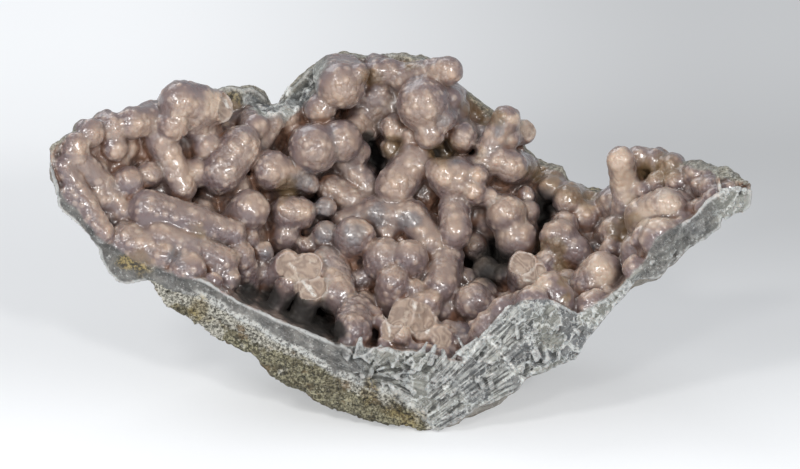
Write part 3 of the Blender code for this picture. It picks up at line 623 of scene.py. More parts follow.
def side_of(curve, ys, zs):
    """Distance of each (y, z) to a run of points carried on past its ends, positive to its left."""
    best = np.full((len(ys), len(zs)), 1e9, np.float32)
    signed = np.zeros_like(best)
    last = len(curve) - 2
    for i in range(len(curve) - 1):
        ay, az = curve[i]
        dy, dz = curve[i + 1] - curve[i]
        length = math.hypot(dy, dz)
        dy /= length
        dz /= length
        py = (ys - ay)[:, None]
        pz = (zs - az)[None, :]
        t = py * dy + pz * dz
        t = np.clip(t, -1e9 if i == 0 else 0, 1e9 if i == last else length)
        ry = py - t * dy
        rz = pz - t * dz
        gap = ry * ry + rz * rz
        closer = gap < best
        best = np.where(closer, gap, best)
        signed = np.where(closer, np.sign(dy * pz - dz * py), signed)
    return np.sqrt(best) * signed


def finer(field):
    """The half-size grid brought to full size."""
    for axis in range(3):
        field = np.moveaxis(field, axis, 0)
        full = np.empty((2 * len(field) - 1, *field.shape[1:]), np.float32)
        full[::2] = field
        full[1::2] = (field[:-1] + field[1:]) / 2
        field = np.moveaxis(full, 0, axis)
    return np.ascontiguousarray(field)


def rock_seam(x):
    """Where host rock meets chalcedony at x, from the front rim backwards."""
    depth = spline(x, ROCK_X, ROCK_DEPTH)
    upper = bed_curve(x)[0]
    outer = outer_curve(x, 41)
    start = upper + (outer[0] - upper) * spline(x, ROCK_X, ROCK_TOP)
    seam = []
    for i in range(0, 25, 2):
        t = i / 24
        seam.append(outer_curve(x, 41, depth * (1 - t**2) - 3.0 * t**2)[i])
    seam = np.array(seam)
    lead = np.linspace(1, 0, len(seam))[:, None] ** 3
    seam = seam + lead * (start - seam[0])
    return np.concatenate([[seam[0] + (-9.0, -1.0)], seam])


def weathered_outer(x):
    """Outer face at x with the low bumps of the underside."""
    outer = outer_curve(x)
    for i, (y, z) in enumerate(outer):
        share = math.sin(math.pi * i / (len(outer) - 1)) ** 0.6
        bump = noise.fractal(Vector((x, y, z)) * 0.09, 1.0, 2.0, 3) * 1.5
        outer[i] += np.array((0.5, -0.8)) * bump * share
    return outer


def crust_fields():
    """Signed distances to the bed, the outside, the broken rim, the top edge and the rock seam."""
    xs, ys, zs = grid_axes(2)
    names = ("bed", "outside", "rim", "top", "seam")
    fields = {name: np.empty((len(xs), len(ys), len(zs)), np.float32) for name in names}
    for i, x in enumerate(xs):
        inner = bed_curve(x, 24)
        outer = weathered_outer(x)
        fields["bed"][i] = side_of(inner, ys, zs)
        fields["outside"][i] = -side_of(outer, ys, zs)
        fields["rim"][i] = side_of(np.array([outer[0], inner[0]]), ys, zs)
        fields["top"][i] = side_of(np.array([inner[-1], outer[-1]]), ys, zs)
        if ROCK_X[0] < x < ROCK_X[-1]:
            fields["seam"][i] = side_of(rock_seam(x), ys, zs)
        else:
            fields["seam"][i] = 9.0
    return {name: finer(field) for name, field in fields.items()}


def fibre_lean(x, h, rng):
    """Which way the splinters run on the broken rim, in degrees from upright."""
    if x < -20:
        return rng.choice([-52, -60, -45]) + rng.uniform(-8, 8)
    if x < 5:
        return math.degrees(math.atan2(x + 6.5, h - 11.5)) + rng.uniform(-22, 22)
    if x < 32:
        fan = math.degrees(math.atan2(x + 14.0, h + 12.0))
        return fan + rng.choice([-50, 0, 0, 0, 0]) + rng.uniform(-7, 7)
    return rng.choice([56, 60, 64, 20, -30]) + rng.uniform(-14, 14)


def facet_layer(points, rng, size, count, strength):
    """Flat splinters that cut the broken rim into steps, all of about one size."""
    best = np.full(len(points), 1e9)
    layer = np.zeros(len(points))
    for _ in range(count):
        x = rng.uniform(-66, 68)
        if x < -6 and rng.random() < 0.5:
            continue
        if 6 < x < 25 and size < 1 and rng.random() < 0.82:
            continue
        some = slice(*np.searchsorted(points[:, 0], [x - 9, x + 9]))
        upper = bed_curve(x)[0]
        lower = outer_curve(x)[0]
        y, z = lower + (upper - lower) * rng.random()
        lean = math.radians(fibre_lean(x, h_of(y, z), rng))
        length = float(np.interp(x, *FACET_LENGTH)) / size**0.5
        offset = points[some] - np.array([x, y, z])
        along_it = offset[:, 0] * math.sin(lean) + offset[:, 2] * math.cos(lean)
        across = offset[:, 0] * math.cos(lean) - offset[:, 2] * math.sin(lean)
        gap = (along_it / length) ** 2 + across**2 + (offset[:, 1] / 1.5) ** 2
        rough = float(np.interp(x, *FACET_ROUGHNESS))
        value = rng.uniform(-1.0, 1.2) + along_it * rng.gauss(0, 0.10)
        value = value + across * rng.gauss(0, 0.5 / size)
        closer = gap < best[some]
        best[some] = np.where(closer, gap, best[some])
        steps = rough * strength * np.clip(value, -1.7, 1.7)
        layer[some] = np.where(closer, steps, layer[some])
    return layer


def broken_facets(fields, axes, rng):
    """Relief of the broken rim: long flat splinters with small steps between them."""
    near = (np.abs(fields["rim"]) < 3.6) & (fields["bed"] < 2.5) & (fields["outside"] < 2.5)
    cells = np.argwhere(near)
    points = np.stack([axes[a][cells[:, a]] for a in range(3)], axis=1)
    relief = np.zeros(len(points))
    for size, count, strength in FACET_LAYERS:
        relief += facet_layer(points, rng, size, count, strength)
    field = np.zeros(fields["rim"].shape, np.float32)
    field[near] = relief
    return field


def window(axes, low, high):
    """Index ranges of the grid that cover a box."""
    spans = []
    for a in range(3):
        i = int(np.clip(math.floor((low[a] - LOW[a]) / STEP), 0, COUNT[a] - 1))
        j = int(np.clip(math.ceil((high[a] - LOW[a]) / STEP) + 1, i + 1, COUNT[a]))
        spans.append(slice(i, j))
    return tuple(spans), [axes[a][spans[a]] for a in range(3)]


def limb_distance(xs, ys, zs, a, b, ra, rb):
    """Distance to a tapered round limb, on an open grid or at loose points."""
    way = b - a
    length2 = max(float(way @ way), 1e-9)
    px = xs - a[0]
    py = ys - a[1]
    pz = zs - a[2]
    t = np.clip((px * way[0] + py * way[1] + pz * way[2]) / length2, 0, 1)
    gap = np.sqrt((px - t * way[0]) ** 2 + (py - t * way[1]) ** 2 + (pz - t * way[2]) ** 2)
    return gap - (ra + (rb - ra) * t), t


def add_limb(field, owner, axes, a, b, ra, rb, k, number):
    """One limb or ball joined to the stone, and marked as its owner where it is nearest."""
    reach = max(ra, rb) + k + 1.0
    spans, (xs, ys, zs) = window(axes, np.minimum(a, b) - reach, np.maximum(a, b) + reach)
    gap, _ = limb_distance(xs[:, None, None], ys[None, :, None], zs[None, None, :], a, b, ra, rb)
    owner[spans][gap < field[spans]] = number
    field[spans] = blend_min(field[spans], gap.astype(np.float32), k)


def add_ball(field, owner, axes, centre, r, k, number):
    add_limb(field, owner, axes, centre, centre, r, r, k, number)


def random_place(x, rng):
    """A random place of the bed at x, as (y, z), and the way out of the bed there."""
    curve = bed_curve(x, 60)
    i = rng.randrange(3, 58)
    way = curve[i + 1] - curve[i]
    way /= np.linalg.norm(way)
    return curve[i], np.array((-way[1], way[0]))


def add_beads(field, owner, axes, rng):
    """Small balls all over the bed, between the fingers."""
    for _ in range(BEADS):
        x = rng.uniform(-67, 67)
        place, out = random_place(x, rng)
        if in_open_place(x, h_of(*place)):
            continue
        r = rng.uniform(*BEAD_RADIUS)
        centre = np.array((x, *(place + out * r * rng.uniform(-0.2, 0.5))))
        add_ball(field, owner, axes, centre, r, BEAD_BLEND, NO_FINGER)


def add_back_lobes(field, owner, axes, fingers, rng):
    """Lobes behind and between the fingers, so that the bed shows no bare crust."""
    tips = [path[-1] for path, _ in fingers]
    for _ in range(BACK_LOBES):
        x = rng.uniform(-64, 66)
        place, out = random_place(x, rng)
        r = rng.uniform(*BACK_LOBE_RADIUS)
        lift = rng.uniform(*BACK_LOBE_LIFT) * lower_at_ends(x)
        root = np.array((x, *place))
        tip = root + np.array((rng.uniform(-0.8, 0.8), *(out * lift)))
        if in_open_place(x, h_of(tip[1], tip[2]), 0.6 * r):
            continue
        if hides_measured(tip, r + 0.6, tips) or room_behind(root) < 0.8 * r:
            continue
        add_limb(field, owner, axes, root, tip, 0.8 * r, r, LOBE_BLEND, NO_FINGER)


def add_blades(field, owner, axes, blades):
    """Angular splinters: tapered blocks with sharp edges."""
    for centre, size, turn, taper in blades:
        reach = float(np.linalg.norm(size)) + 1.0
        spans, (xs, ys, zs) = window(axes, centre - reach, centre + reach)
        px = (xs - centre[0])[:, None, None]
        py = (ys - centre[1])[None, :, None]
        pz = (zs - centre[2])[None, None, :]
        local = [px * turn[0, a] + py * turn[1, a] + pz * turn[2, a] for a in range(3)]
        thin = 1 - taper * np.clip(local[2] / size[2] * 0.5 + 0.5, 0, 1)
        gap = np.maximum(np.abs(local[0]) - size[0] * thin, np.abs(local[1]) - size[1] * thin)
        gap = np.maximum(gap, np.abs(local[2]) - size[2] + local[0] * 0.3)
        owner[spans][gap < field[spans]] = ON_RIM
        field[spans] = blend_min(field[spans], gap.astype(np.float32), BLADE_BLEND)


def blade(x, h, y, lean, tilt, twist, size, taper):
    """A splinter at (x, h): it leans within the face, tilts out of it and twists about its length."""
    turn = (
        Matrix.Rotation(math.radians(lean), 3, "Y")
        @ Matrix.Rotation(tilt - LOOK_DOWN, 3, "X")
        @ Matrix.Rotation(twist, 3, "Z")
    )
    return np.array((x, y, z_of(h, y))), np.array(size), np.array(turn), taper


def rim_blades(rng):
    """The large splinters of the rim, its pointed plates, and finer splinters between them."""
    blades = []
    for x, h, length, width, lean, forward in SPLINTERS:
        narrow = 0.2 if width > 4 else 0.42
        for side in (-0.3, 0.3):
            y = front_y(x) + 2.2 - forward + rng.uniform(0.0, 0.5)
            slant = lean + 22 * side + rng.uniform(-4, 4)
            twist = rng.uniform(-0.5, 0.5)
            size = (width * narrow / 2, 2.0, length * rng.uniform(0.34, 0.46))
            blades.append(blade(x + side * width * 0.7, h, y, slant, 0.0, twist, size, 0.7))
    for x, h, length, width, lean in RIM_PLATES:
        y = front_y(x) + 1.0
        blades.append(blade(x, h, y, lean, 0.0, 0.0, (width / 2, 0.8, length / 2), 0.65))
    for _ in range(FINE_BLADES):
        x = rng.uniform(-10, 38)
        share = rng.uniform(0.15, 0.92)
        h = along(x, RIM_LOWER) + (along(x, RIM_UPPER) - along(x, RIM_LOWER)) * share
        y = front_y(x) + rng.uniform(0.5, 1.4)
        lean = fibre_lean(x, h, rng)
        tilt = rng.uniform(-0.3, 0.3)
        twist = rng.uniform(-0.6, 0.6)
        length = rng.uniform(2.0, 6.5)
        size = (rng.uniform(0.15, 0.38), rng.uniform(0.5, 1.1), length / 2)
        if x > 34 and share < 0.5:
            continue
        blades.append(blade(x, h, y, lean, tilt, twist, size, 0.7))
    return blades


def past_break(chip, x, y, z):
    """How far a place is past a chip's plane of break, held back outside the chip's reach."""
    cx, ch, lift, reach, lean_x, lean_h = chip
    middle = on_face(cx, ch, lift)
    facing = TOWARDS_FRONT + np.array((lean_x, lean_h * math.sin(LOOK_DOWN), lean_h * math.cos(LOOK_DOWN)))
    facing /= np.linalg.norm(facing)
    ox = x - middle[0]
    oy = y - middle[1]
    oz = z - middle[2]
    past = ox * facing[0] + oy * facing[1] + oz * facing[2]
    far = np.sqrt(ox * ox + oy * oy + oz * oz) - reach
    return past - 2.5 * np.clip(far, 0, None)


def break_chips(field, axes):
    """Lobes that lost a piece get a flat broken face."""
    for chip in CHIPS:
        middle = on_face(*chip[:3])
        spans, (xs, ys, zs) = window(axes, middle - chip[3] - 3, middle + chip[3] + 3)
        cut = past_break(chip, xs[:, None, None], ys[None, :, None], zs[None, None, :])
        for wave, seed, strength in CHIP_GRAIN:
            cut = cut + strength * cloud_grid((xs, ys, zs), wave, seed)
        field[spans] = np.maximum(field[spans], cut.astype(np.float32))


def build_crust(axes, rng):
    """The crust with the grain of its broken rim, its weathered outside and the host rock."""
    fields = crust_fields()
    grain = layered(cloud_grid, axes, GRAIN)
    ripples = cloud_grid(axes, 6.0, 33)
    facets = broken_facets(fields, axes, rng)
    fields["seam"] += ripples * 0.5 + grain * 0.5
    rocky = np.clip(0.5 - fields["seam"], 0, 1)
    pits = np.clip(cloud_grid(axes, (1.9, 1.9, 1.5), 34) - 0.25, 0, 1)
    facets *= 0.35 + 0.65 * np.clip(cloud_grid(axes, 5.0, 36) * 2.2 + 0.75, 0, 1)
    inland = np.clip((62 - np.abs(axes[0])) / 8, 0, 1)[:, None, None]
    outside = fields["outside"] + grain * (0.45 + 0.5 * rocky) + pits * (0.5 + 0.1 * rocky)
    outside = outside + layered(cloud_grid, axes, OUTSIDE_LUMPS) * inland
    rim = fields["rim"] - facets * (1 - 0.6 * rocky) * (0.35 + 0.65 * inland)
    rim = rim + (grain + ripples * 0.7 + pits * 0.4) * rocky + 0.1 * grain
    top = fields["top"] + 0.9 * cloud_grid(axes, (3.2, 9.0, 9.0), 35)
    bed = fields["bed"] + 0.3 * grain
    ends = np.abs(axes[0])[:, None, None] - END_X + np.zeros_like(bed)
    return fields, np.maximum.reduce([bed, outside, rim, top, ends])


def build_stone():
    """The distance field, and for each grid place the finger that is nearest."""
    axes = grid_axes()
    rng = random.Random(23)
    fields, crust = build_crust(axes, rng)
    field = crust.copy()
    owner = np.full(field.shape, NO_FINGER, np.int16)
    add_beads(field, owner, axes, rng)
    fingers = all_fingers()
    add_back_lobes(field, owner, axes, fingers, rng)
    knob_rng = random.Random(41)
    for number, (path, balls) in enumerate(fingers):
        for (a, ra), (b, rb) in zip(path, path[1:]):
            add_limb(field, owner, axes, a, b, ra + SWELLING, rb + SWELLING, LOBE_BLEND, number)
        for centre, r in balls + small_lobes(path, knob_rng):
            add_ball(field, owner, axes, centre, r, LOBE_BLEND * 0.5, number)
    for x, h, r, lift in EXTRA_LOBES:
        add_ball(field, owner, axes, on_face(x, h, lift), r, LOBE_BLEND, NO_FINGER)
    for x, h, r in RIM_LUMPS:
        y = front_y(x) + r + 0.2
        add_ball(field, owner, axes, np.array((x, y, z_of(h, y))), r, LOBE_BLEND, ON_RIM)
    break_chips(field, axes)
    add_blades(field, owner, axes, rim_blades(rng))
    field = np.maximum(field, FOOT_LEVEL - axes[2][None, None, :])
    return field, owner, fields, crust, fingers


def box_blur(field, reach):
    """Average over a cube of grid points."""
    n = max(1, int(round(reach / STEP)))
    for axis in range(3):
        moved = np.moveaxis(field, axis, 0)
        padded = np.concatenate([np.repeat(moved[:1], n + 1, 0), moved, np.repeat(moved[-1:], n, 0)])
        total = np.cumsum(padded, axis=0, dtype=np.float32)
        moved = (total[2 * n + 1:] - total[:-2 * n - 1]) / (2 * n + 1)
        field = np.moveaxis(moved, 0, axis)
    return field


def nearest_seed(points, cell, seed):
    """Distance from each point to the nearest of a loose lattice of seeds, in cells."""
    place = ((points - LOW) / cell + 3.0).astype(np.float32)
    home = place.astype(int)
    size = tuple(home.max(axis=0) + 3)
    jitter = np.random.RandomState(seed).uniform(0.0, 1.0, size + (3,)).astype(np.float32)
    best = np.full(len(points), 9.0, np.float32)
    for shift in np.ndindex(3, 3, 3):
        other = home + np.array(shift) - 1
        gap = place - other - jitter[tuple(other.T)]
        best = np.minimum(best, (gap * gap).sum(axis=1))
    return np.sqrt(best)


CORNERS = np.array([(i, j, k) for i in (0, 1) for j in (0, 1) for k in (0, 1)])
EDGES = [(a, b) for a in range(8) for b in range(a + 1, 8) if np.abs(CORNERS[a] - CORNERS[b]).sum() == 1]


def skin(field):
    """Quads around the negative part of the field: one point in each cell that the surface crosses."""
    inside = field < 0
    shape = [n - 1 for n in field.shape]
    total = np.zeros(shape, np.int8)
    for i, j, k in CORNERS:
        total += inside[i:i + shape[0], j:j + shape[1], k:k + shape[2]]
    cells = np.argwhere((total > 0) & (total < 8))
    number = np.full(shape, -1, np.int32)
    number[tuple(cells.T)] = np.arange(len(cells))
    values = np.stack([field[tuple((cells + c).T)] for c in CORNERS], axis=1)
    sums = np.zeros((len(cells), 3))
    hits = np.zeros(len(cells))
    for a, b in EDGES:
        va = values[:, a]
        vb = values[:, b]
        cross = (va < 0) != (vb < 0)
        t = np.where(cross, va / np.where(cross, va - vb, 1), 0)[:, None]
        sums += (CORNERS[a] + t * (CORNERS[b] - CORNERS[a])) * cross[:, None]
        hits += cross
    points = LOW + STEP * (cells + sums / hits[:, None])
    quads = []
    for axis in range(3):
        u = (axis + 1) % 3
        v = (axis + 2) % 3
        ahead = np.moveaxis(inside, axis, 0)
        change = np.moveaxis(ahead[1:] != ahead[:-1], 0, axis)
        place = np.argwhere(change)
        place = place[(place[:, u] > 0) & (place[:, v] > 0)]
        place = place[(place[:, u] < field.shape[u] - 1) & (place[:, v] < field.shape[v] - 1)]
        du = np.zeros(3, int)
        dv = np.zeros(3, int)
        du[u] = 1
        dv[v] = 1
        ring = [place - du - dv, place - dv, place, place - du]
        quad = np.stack([number[tuple(r.T)] for r in ring], axis=1)
        flip = ~inside[tuple(place.T)]
        quad[flip] = quad[flip][:, ::-1]
        quads.append(quad)
    return points, np.concatenate(quads)


def keep_body(points, quads):
    """Drops loose crumbs and sealed bubbles: only the largest joined skin stays."""
    label = np.arange(len(points))
    pairs = np.concatenate([quads[:, [0, 1]], quads[:, [1, 2]], quads[:, [2, 3]]])
    while True:
        low = np.minimum(label[pairs[:, 0]], label[pairs[:, 1]])
        fresh = label.copy()
        np.minimum.at(fresh, pairs[:, 0], low)
        np.minimum.at(fresh, pairs[:, 1], low)
        fresh = fresh[fresh]
        fresh = fresh[fresh]
        if (fresh == label).all():
            break
        label = fresh
    names, counts = np.unique(label, return_counts=True)
    keep = label == names[counts.argmax()]
    remap = np.cumsum(keep) - 1
    return points[keep], remap[quads[keep[quads[:, 0]]]]


def point_normals(points, quads):
    a, b, c, d = (points[quads[:, i]] for i in range(4))
    faces = np.cross(c - a, d - b)
    normals = np.zeros_like(points)
    for i in range(4):
        for axis in range(3):
            normals[:, axis] += np.bincount(quads[:, i], faces[:, axis], len(points))
    return normals / np.maximum(np.linalg.norm(normals, axis=1), 1e-12)[:, None]


def mask(value, low, high):
    """0 below low, 1 above high, smooth between."""
    return fade(np.clip((value - low) / (high - low), 0, 1))


def band(value, rise, fall):
    """1 between a rising and a falling edge, each a pair of low and high."""
    return mask(value, *rise) * (1 - mask(value, *fall))


def spots(points, places):
    """Marked places on the face, with uneven edges."""
    shift = layered(cloud_at, points, ((3.0, 51, 1.4), (1.2, 52, 0.6)))
    h = face_h(points)
    total = np.zeros(len(points))
    for x, hh, r in places:
        gap = np.hypot(points[:, 0] - x, h - hh) + shift
        total = np.maximum(total, 1 - mask(gap, r * 0.45, r * 1.3))
    return total


def streaks_at(points):
    """White crushed lines on broken lobes and along the notch."""
    x = points[:, 0]
    h = face_h(points)
    shift = layered(cloud_at, points, ((1.6, 57, 0.35), (0.8, 58, 0.3)))
    total = np.zeros(len(points))
    for line in WHITE_LINES:
        for (xa, ha), (xb, hb) in zip(line, line[1:]):
            dx = xb - xa
            dh = hb - ha
            t = np.clip(((x - xa) * dx + (h - ha) * dh) / (dx**2 + dh**2), 0, 1)
            gap = np.hypot(x - xa - t * dx, h - ha - t * dh) + shift
            total = np.maximum(total, 1 - mask(gap, 0.12, 0.42))
    return total * mask(cloud_at(points, 1.2, 59), -0.5, 0.1)


def past_notch(points):
    """1 on the broken band beside the notch in the top edge."""
    h = face_h(points)
    top = np.interp(points[:, 0], [x for x, _ in RIM_TOP], [h for _, h in RIM_TOP])
    width = np.interp(points[:, 0], *NOTCH_BAND)
    uneven = 0.9 * cloud_at(points, 2.0, 55)
    return mask(h - top + width + uneven, -0.3, 0.5)


def fibre_places(points):
    """Where a point is across and along the splinters, which fan out from two places on the rim."""
    h = face_h(points)
    right = points[:, 0] > 5.0
    dx = points[:, 0] - np.where(right, -14.0, -6.5)
    dh = h - np.where(right, -12.0, 11.5)
    fan = np.arctan2(dx, dh) * np.where(right, 34.0, 14.0) + np.where(right, 60.0, 0.0)
    return fan, np.hypot(dx, dh)


def growth_along(points, owners, fingers):
    """0 at the root of a finger, 1 at its tip, and a random tone for each finger."""
    growth = np.full(len(points), 0.15)
    tone = np.full(len(points), 0.4)
    order = np.argsort(owners, kind="stable")
    starts = np.searchsorted(owners[order], np.arange(len(fingers) + 1))
    rng = random.Random(61)
    for number, (path, _) in enumerate(fingers):
        shade = rng.random()
        chosen = order[starts[number]:starts[number + 1]]
        if not len(chosen):
            continue
        here = points[chosen]
        best = np.full(len(chosen), 1e9)
        share = np.zeros(len(chosen))
        runs = len(path) - 1
        for i in range(runs):
            (a, ra), (b, rb) = path[i], path[i + 1]
            gap, t = limb_distance(here[:, 0], here[:, 1], here[:, 2], a, b, ra, rb)
            closer = gap < best
            best[closer] = gap[closer]
            share[closer] = ((i + t) / runs)[closer]
        growth[chosen] = share
        tone[chosen] = shade
    return growth, tone


def nearest_index(points):
    place = np.rint((points - LOW) / STEP).astype(int)
    return tuple(np.clip(place, 0, np.array(COUNT) - 1).T)


def within_box(points):
    """Points held within the part's box, and above the plane of its foot."""
    low = np.array(CAD_LOW) * 1000 - BOX_SLACK
    high = np.array(CAD_HIGH) * 1000 + BOX_SLACK
    points = np.clip(points, low, high)
    points[:, 2] = np.maximum(points[:, 2], FOOT_LEVEL)
    return points


def crowding(field, points, normals):
    """How much stone is around each point at three scales: high in creases, low on ridges; the colours use
    it for painted shade in creases and painted light on ridges.
    """
    inside = (field < 0).astype(np.float32)
    return {
        "fine": sample(box_blur(inside, 0.8), points) - 0.5,
        "ridge": sample(box_blur(box_blur(inside, 1.3), 1.3), points) - 0.5,
        "deep": sample(box_blur(box_blur(inside, 2.6), 2.6), points + normals * 1.5) - 0.35,
    }


def chipped_at(points):
    """1 on the flat faces of the lobes that lost a piece."""
    uneven = layered(cloud_at, points, CHIP_GRAIN)
    chip = np.zeros(len(points))
    for place in CHIPS:
        chip = np.maximum(chip, mask(past_break(place, *points.T) + uneven, -0.4, -0.12))
    return chip


def kinds_of_surface(points, owners, near, wavy):
    """How much of each kind of surface there is at each point, from 0 to 1."""
    x = points[:, 0]
    bare = np.where(owners == NO_FINGER, 1.0, 0.0)
    broken = mask(near["rim"] + wavy * 0.5, -1.4, -0.5)
    broken = broken * (1 - mask(near["bed"] + wavy, -0.2, 0.6) * (owners != ON_RIM))
    broken = np.maximum(broken, (owners == ON_RIM) * 1.0)
    top_edge = mask(near["top"], -1.0, -0.2) * bare * (1 - mask(near["bed"], 0.5, 1.2))
    broken = np.maximum(broken, top_edge)
    beside_gap = band(x, (-35.0, -31.0), (-16.0, -13.0)) * (1 - mask(near["bed"], 6.0, 9.0))
    notch = past_notch(points) * mask(near["bed"], -2.5, -1.2) * np.maximum(bare, beside_gap)
    broken = np.maximum(broken, notch)
    contact = 1 - mask(np.abs(near["seam"] - 0.5 + wavy * 0.4), 0.4, 1.2)
    rock = 1 - mask(near["seam"], -0.3, 0.3)
    rock[near["crust"] < -1.5] = 0
    return {
        "broken": broken,
        "notch": notch,
        "rock": rock,
        "worn": mask(near["top"], -2.2, -0.9) * bare * (1 - 0.6 * notch),
        "contact": contact * mask(x, -46.0, -38.0),
        "back": mask(near["outside"], -1.6, -0.7) * (1 - broken),
        "chip": chipped_at(points),
    }


def domes(points, size, seed, width):
    """Round caps on a loose lattice, 1 in the middle of each."""
    return np.clip(1 - (nearest_seed(points, size, seed) / width) ** 2, 0, 1)


def raise_relief(points, normals, kinds, rock, lines, wavy):
    """Beads on the skin, pits in the rock, crumbs and white lines on the broken edge."""
    caps = domes(points, GRAPE_SIZE, 71, 0.6) ** 2
    lumps = domes(points, 3.4, 74, 0.85)
    pits = np.sqrt(domes(points, 1.3, 72, 0.42))
    holes = np.sqrt(domes(points, 0.9, 73, 0.5))
    broken = kinds["broken"]
    smooth = (1 - broken) * (1 - kinds["back"]) * (1 - kinds["chip"])
    stony = np.maximum(rock, 0.35 * kinds["back"])
    beaded = (caps - 0.3) * GRAPE_RELIEF + (lumps - 0.5) * LUMP_RELIEF
    points = points + normals * (beaded * smooth)[:, None]
    points -= normals * ((pits * PIT_DEPTH + holes * PIT_DEPTH) * stony)[:, None]
    fibrous = band(points[:, 0] + wavy, (4.0, 9.0), (21.0, 26.0)) * broken
    crumbly = (1 - 0.65 * fibrous) * broken * (1 - rock)
    points += normals * (layered(cloud_at, points, CRUMBS) * crumbly)[:, None]
    points += normals * (LINE_RELIEF * lines * broken)[:, None]
    # cap also steers painted highlights on bead tops and painted shade between beads; pit steers painted
    # shade in the rock's pits
    return points, {"cap": caps, "pit": np.maximum(pits, holes * 0.7), "fibrous": fibrous}


def glassy(points, wavy, notch):
    """Low on the clear dark band of the rim, at its left and near its right end."""
    torn = mask(points[:, 0] + 3 * wavy, -14.0, 2.0) * 0.85 + 0.15
    torn = np.maximum(torn, 0.8 * notch)
    return torn * (1 - 0.72 * band(points[:, 0] + wavy, (43.0, 49.0), (61.0, 65.0)))


def pieces_of(middle, owners, fields, crust, fingers):
    """The number of the piece that each quad belongs to, in the order of PIECES."""
    tips = np.array([path[-1][0][0] for path, _ in fingers] + [0.0])
    where_x = np.where(owners >= 0, tips[owners], middle[:, 0])
    is_crust = (owners < 0) & (sample(fields["bed"], middle) < 0.2)
    is_rock = (sample(fields["seam"], middle) < 0) & (sample(crust, middle) > -1.2)
    is_outside = is_crust & ~is_rock & (sample(fields["outside"], middle) > -1.2)
    group = np.where(is_crust, 3, np.digitize(where_x, [-16.0, 20.0]))
    return np.where(is_rock, 4, np.where(is_outside, 5, group))


def surface():
    """The skin of the stone with all its relief, and the values that its colours need."""
    field, owner, fields, crust, fingers = build_stone()
    points, quads = keep_body(*skin(field))
    points -= point_normals(points, quads) * sample(field, points)[:, None] * 0.5
    points = within_box(points)
    normals = point_normals(points, quads)
    owners = owner[nearest_index(points)]
    growth, tone = growth_along(points, owners, fingers)
    near = {name: sample(values, points) for name, values in fields.items()}
    near["crust"] = sample(crust, points)
    wavy = 0.9 * cloud_at(points, 2.2, 56)
    kinds = kinds_of_surface(points, owners, near, wavy)
    notch = kinds.pop("notch")
    rock = kinds.pop("rock")
    fan, reach = fibre_places(points)
    lines = streaks_at(points)
    values = {
        **crowding(field, points, normals),
        **kinds,
        "growth": growth,
        "tone": tone,
        "fan": fan,
        "reach": reach,
        # How far the skin faces out of the bed; the skin is painted violet-grey shade where this is low
        "open": (normals * slope(fields["bed"], points)).sum(axis=1),
        "white": lines * np.maximum(kinds["chip"], kinds["broken"]),
    }
    points, relief = raise_relief(points, normals, kinds, rock, lines, wavy)
    points = within_box(points)
    values.update(
        relief,
        # Where the hollows are painted near-black as shade
        hole=spots(points, HOLLOWS) * (1 - mask(near["bed"], 5.0, 11.0)),
        iron=spots(points, IRON_PLACES),
        blue=spots(points, BLUE_PLACES) * 0.7,
        pale=spots(points, PALE_PLACES) * 0.8,
        torn=glassy(points, wavy, notch),
        under=np.clip(-sample(fields["seam"], points) / 4.0, 0, 1),
    )
    group = pieces_of(points[quads].mean(axis=1), owners[quads[:, 0]], fields, crust, fingers)
    return points, quads, values, group


def make_piece(name, points, normals, quads, values, material):
    """A mesh object of some of the skin's quads, with smooth shading kept across the cuts."""
    used = np.unique(quads)
    remap = np.zeros(len(points), np.int64)
    remap[used] = np.arange(len(used))
    faces = remap[quads]
    mesh = bpy.data.meshes.new(name)
    mesh.vertices.add(len(used))
    mesh.vertices.foreach_set("co", (points[used] * 0.001).astype(np.float32).ravel())
    mesh.loops.add(faces.size)
    mesh.loops.foreach_set("vertex_index", faces.astype(np.int32).ravel())
    mesh.polygons.add(len(faces))
    mesh.polygons.foreach_set("loop_start", np.arange(0, faces.size, 4, dtype=np.int32))
    mesh.polygons.foreach_set("loop_total", np.full(len(faces), 4, np.int32))
    mesh.update(calc_edges=True)
    mesh.shade_smooth()
    mesh.normals_split_custom_set_from_vertices(normals[used].astype(np.float32))
    for key, value in values.items():
        layer = mesh.attributes.new(key, "FLOAT", "POINT")
        layer.data.foreach_set("value", value[used].astype(np.float32))
    mesh.materials.append(material)
    obj = bpy.data.objects.new(name, mesh)
    bpy.context.scene.collection.objects.link(obj)
    return obj


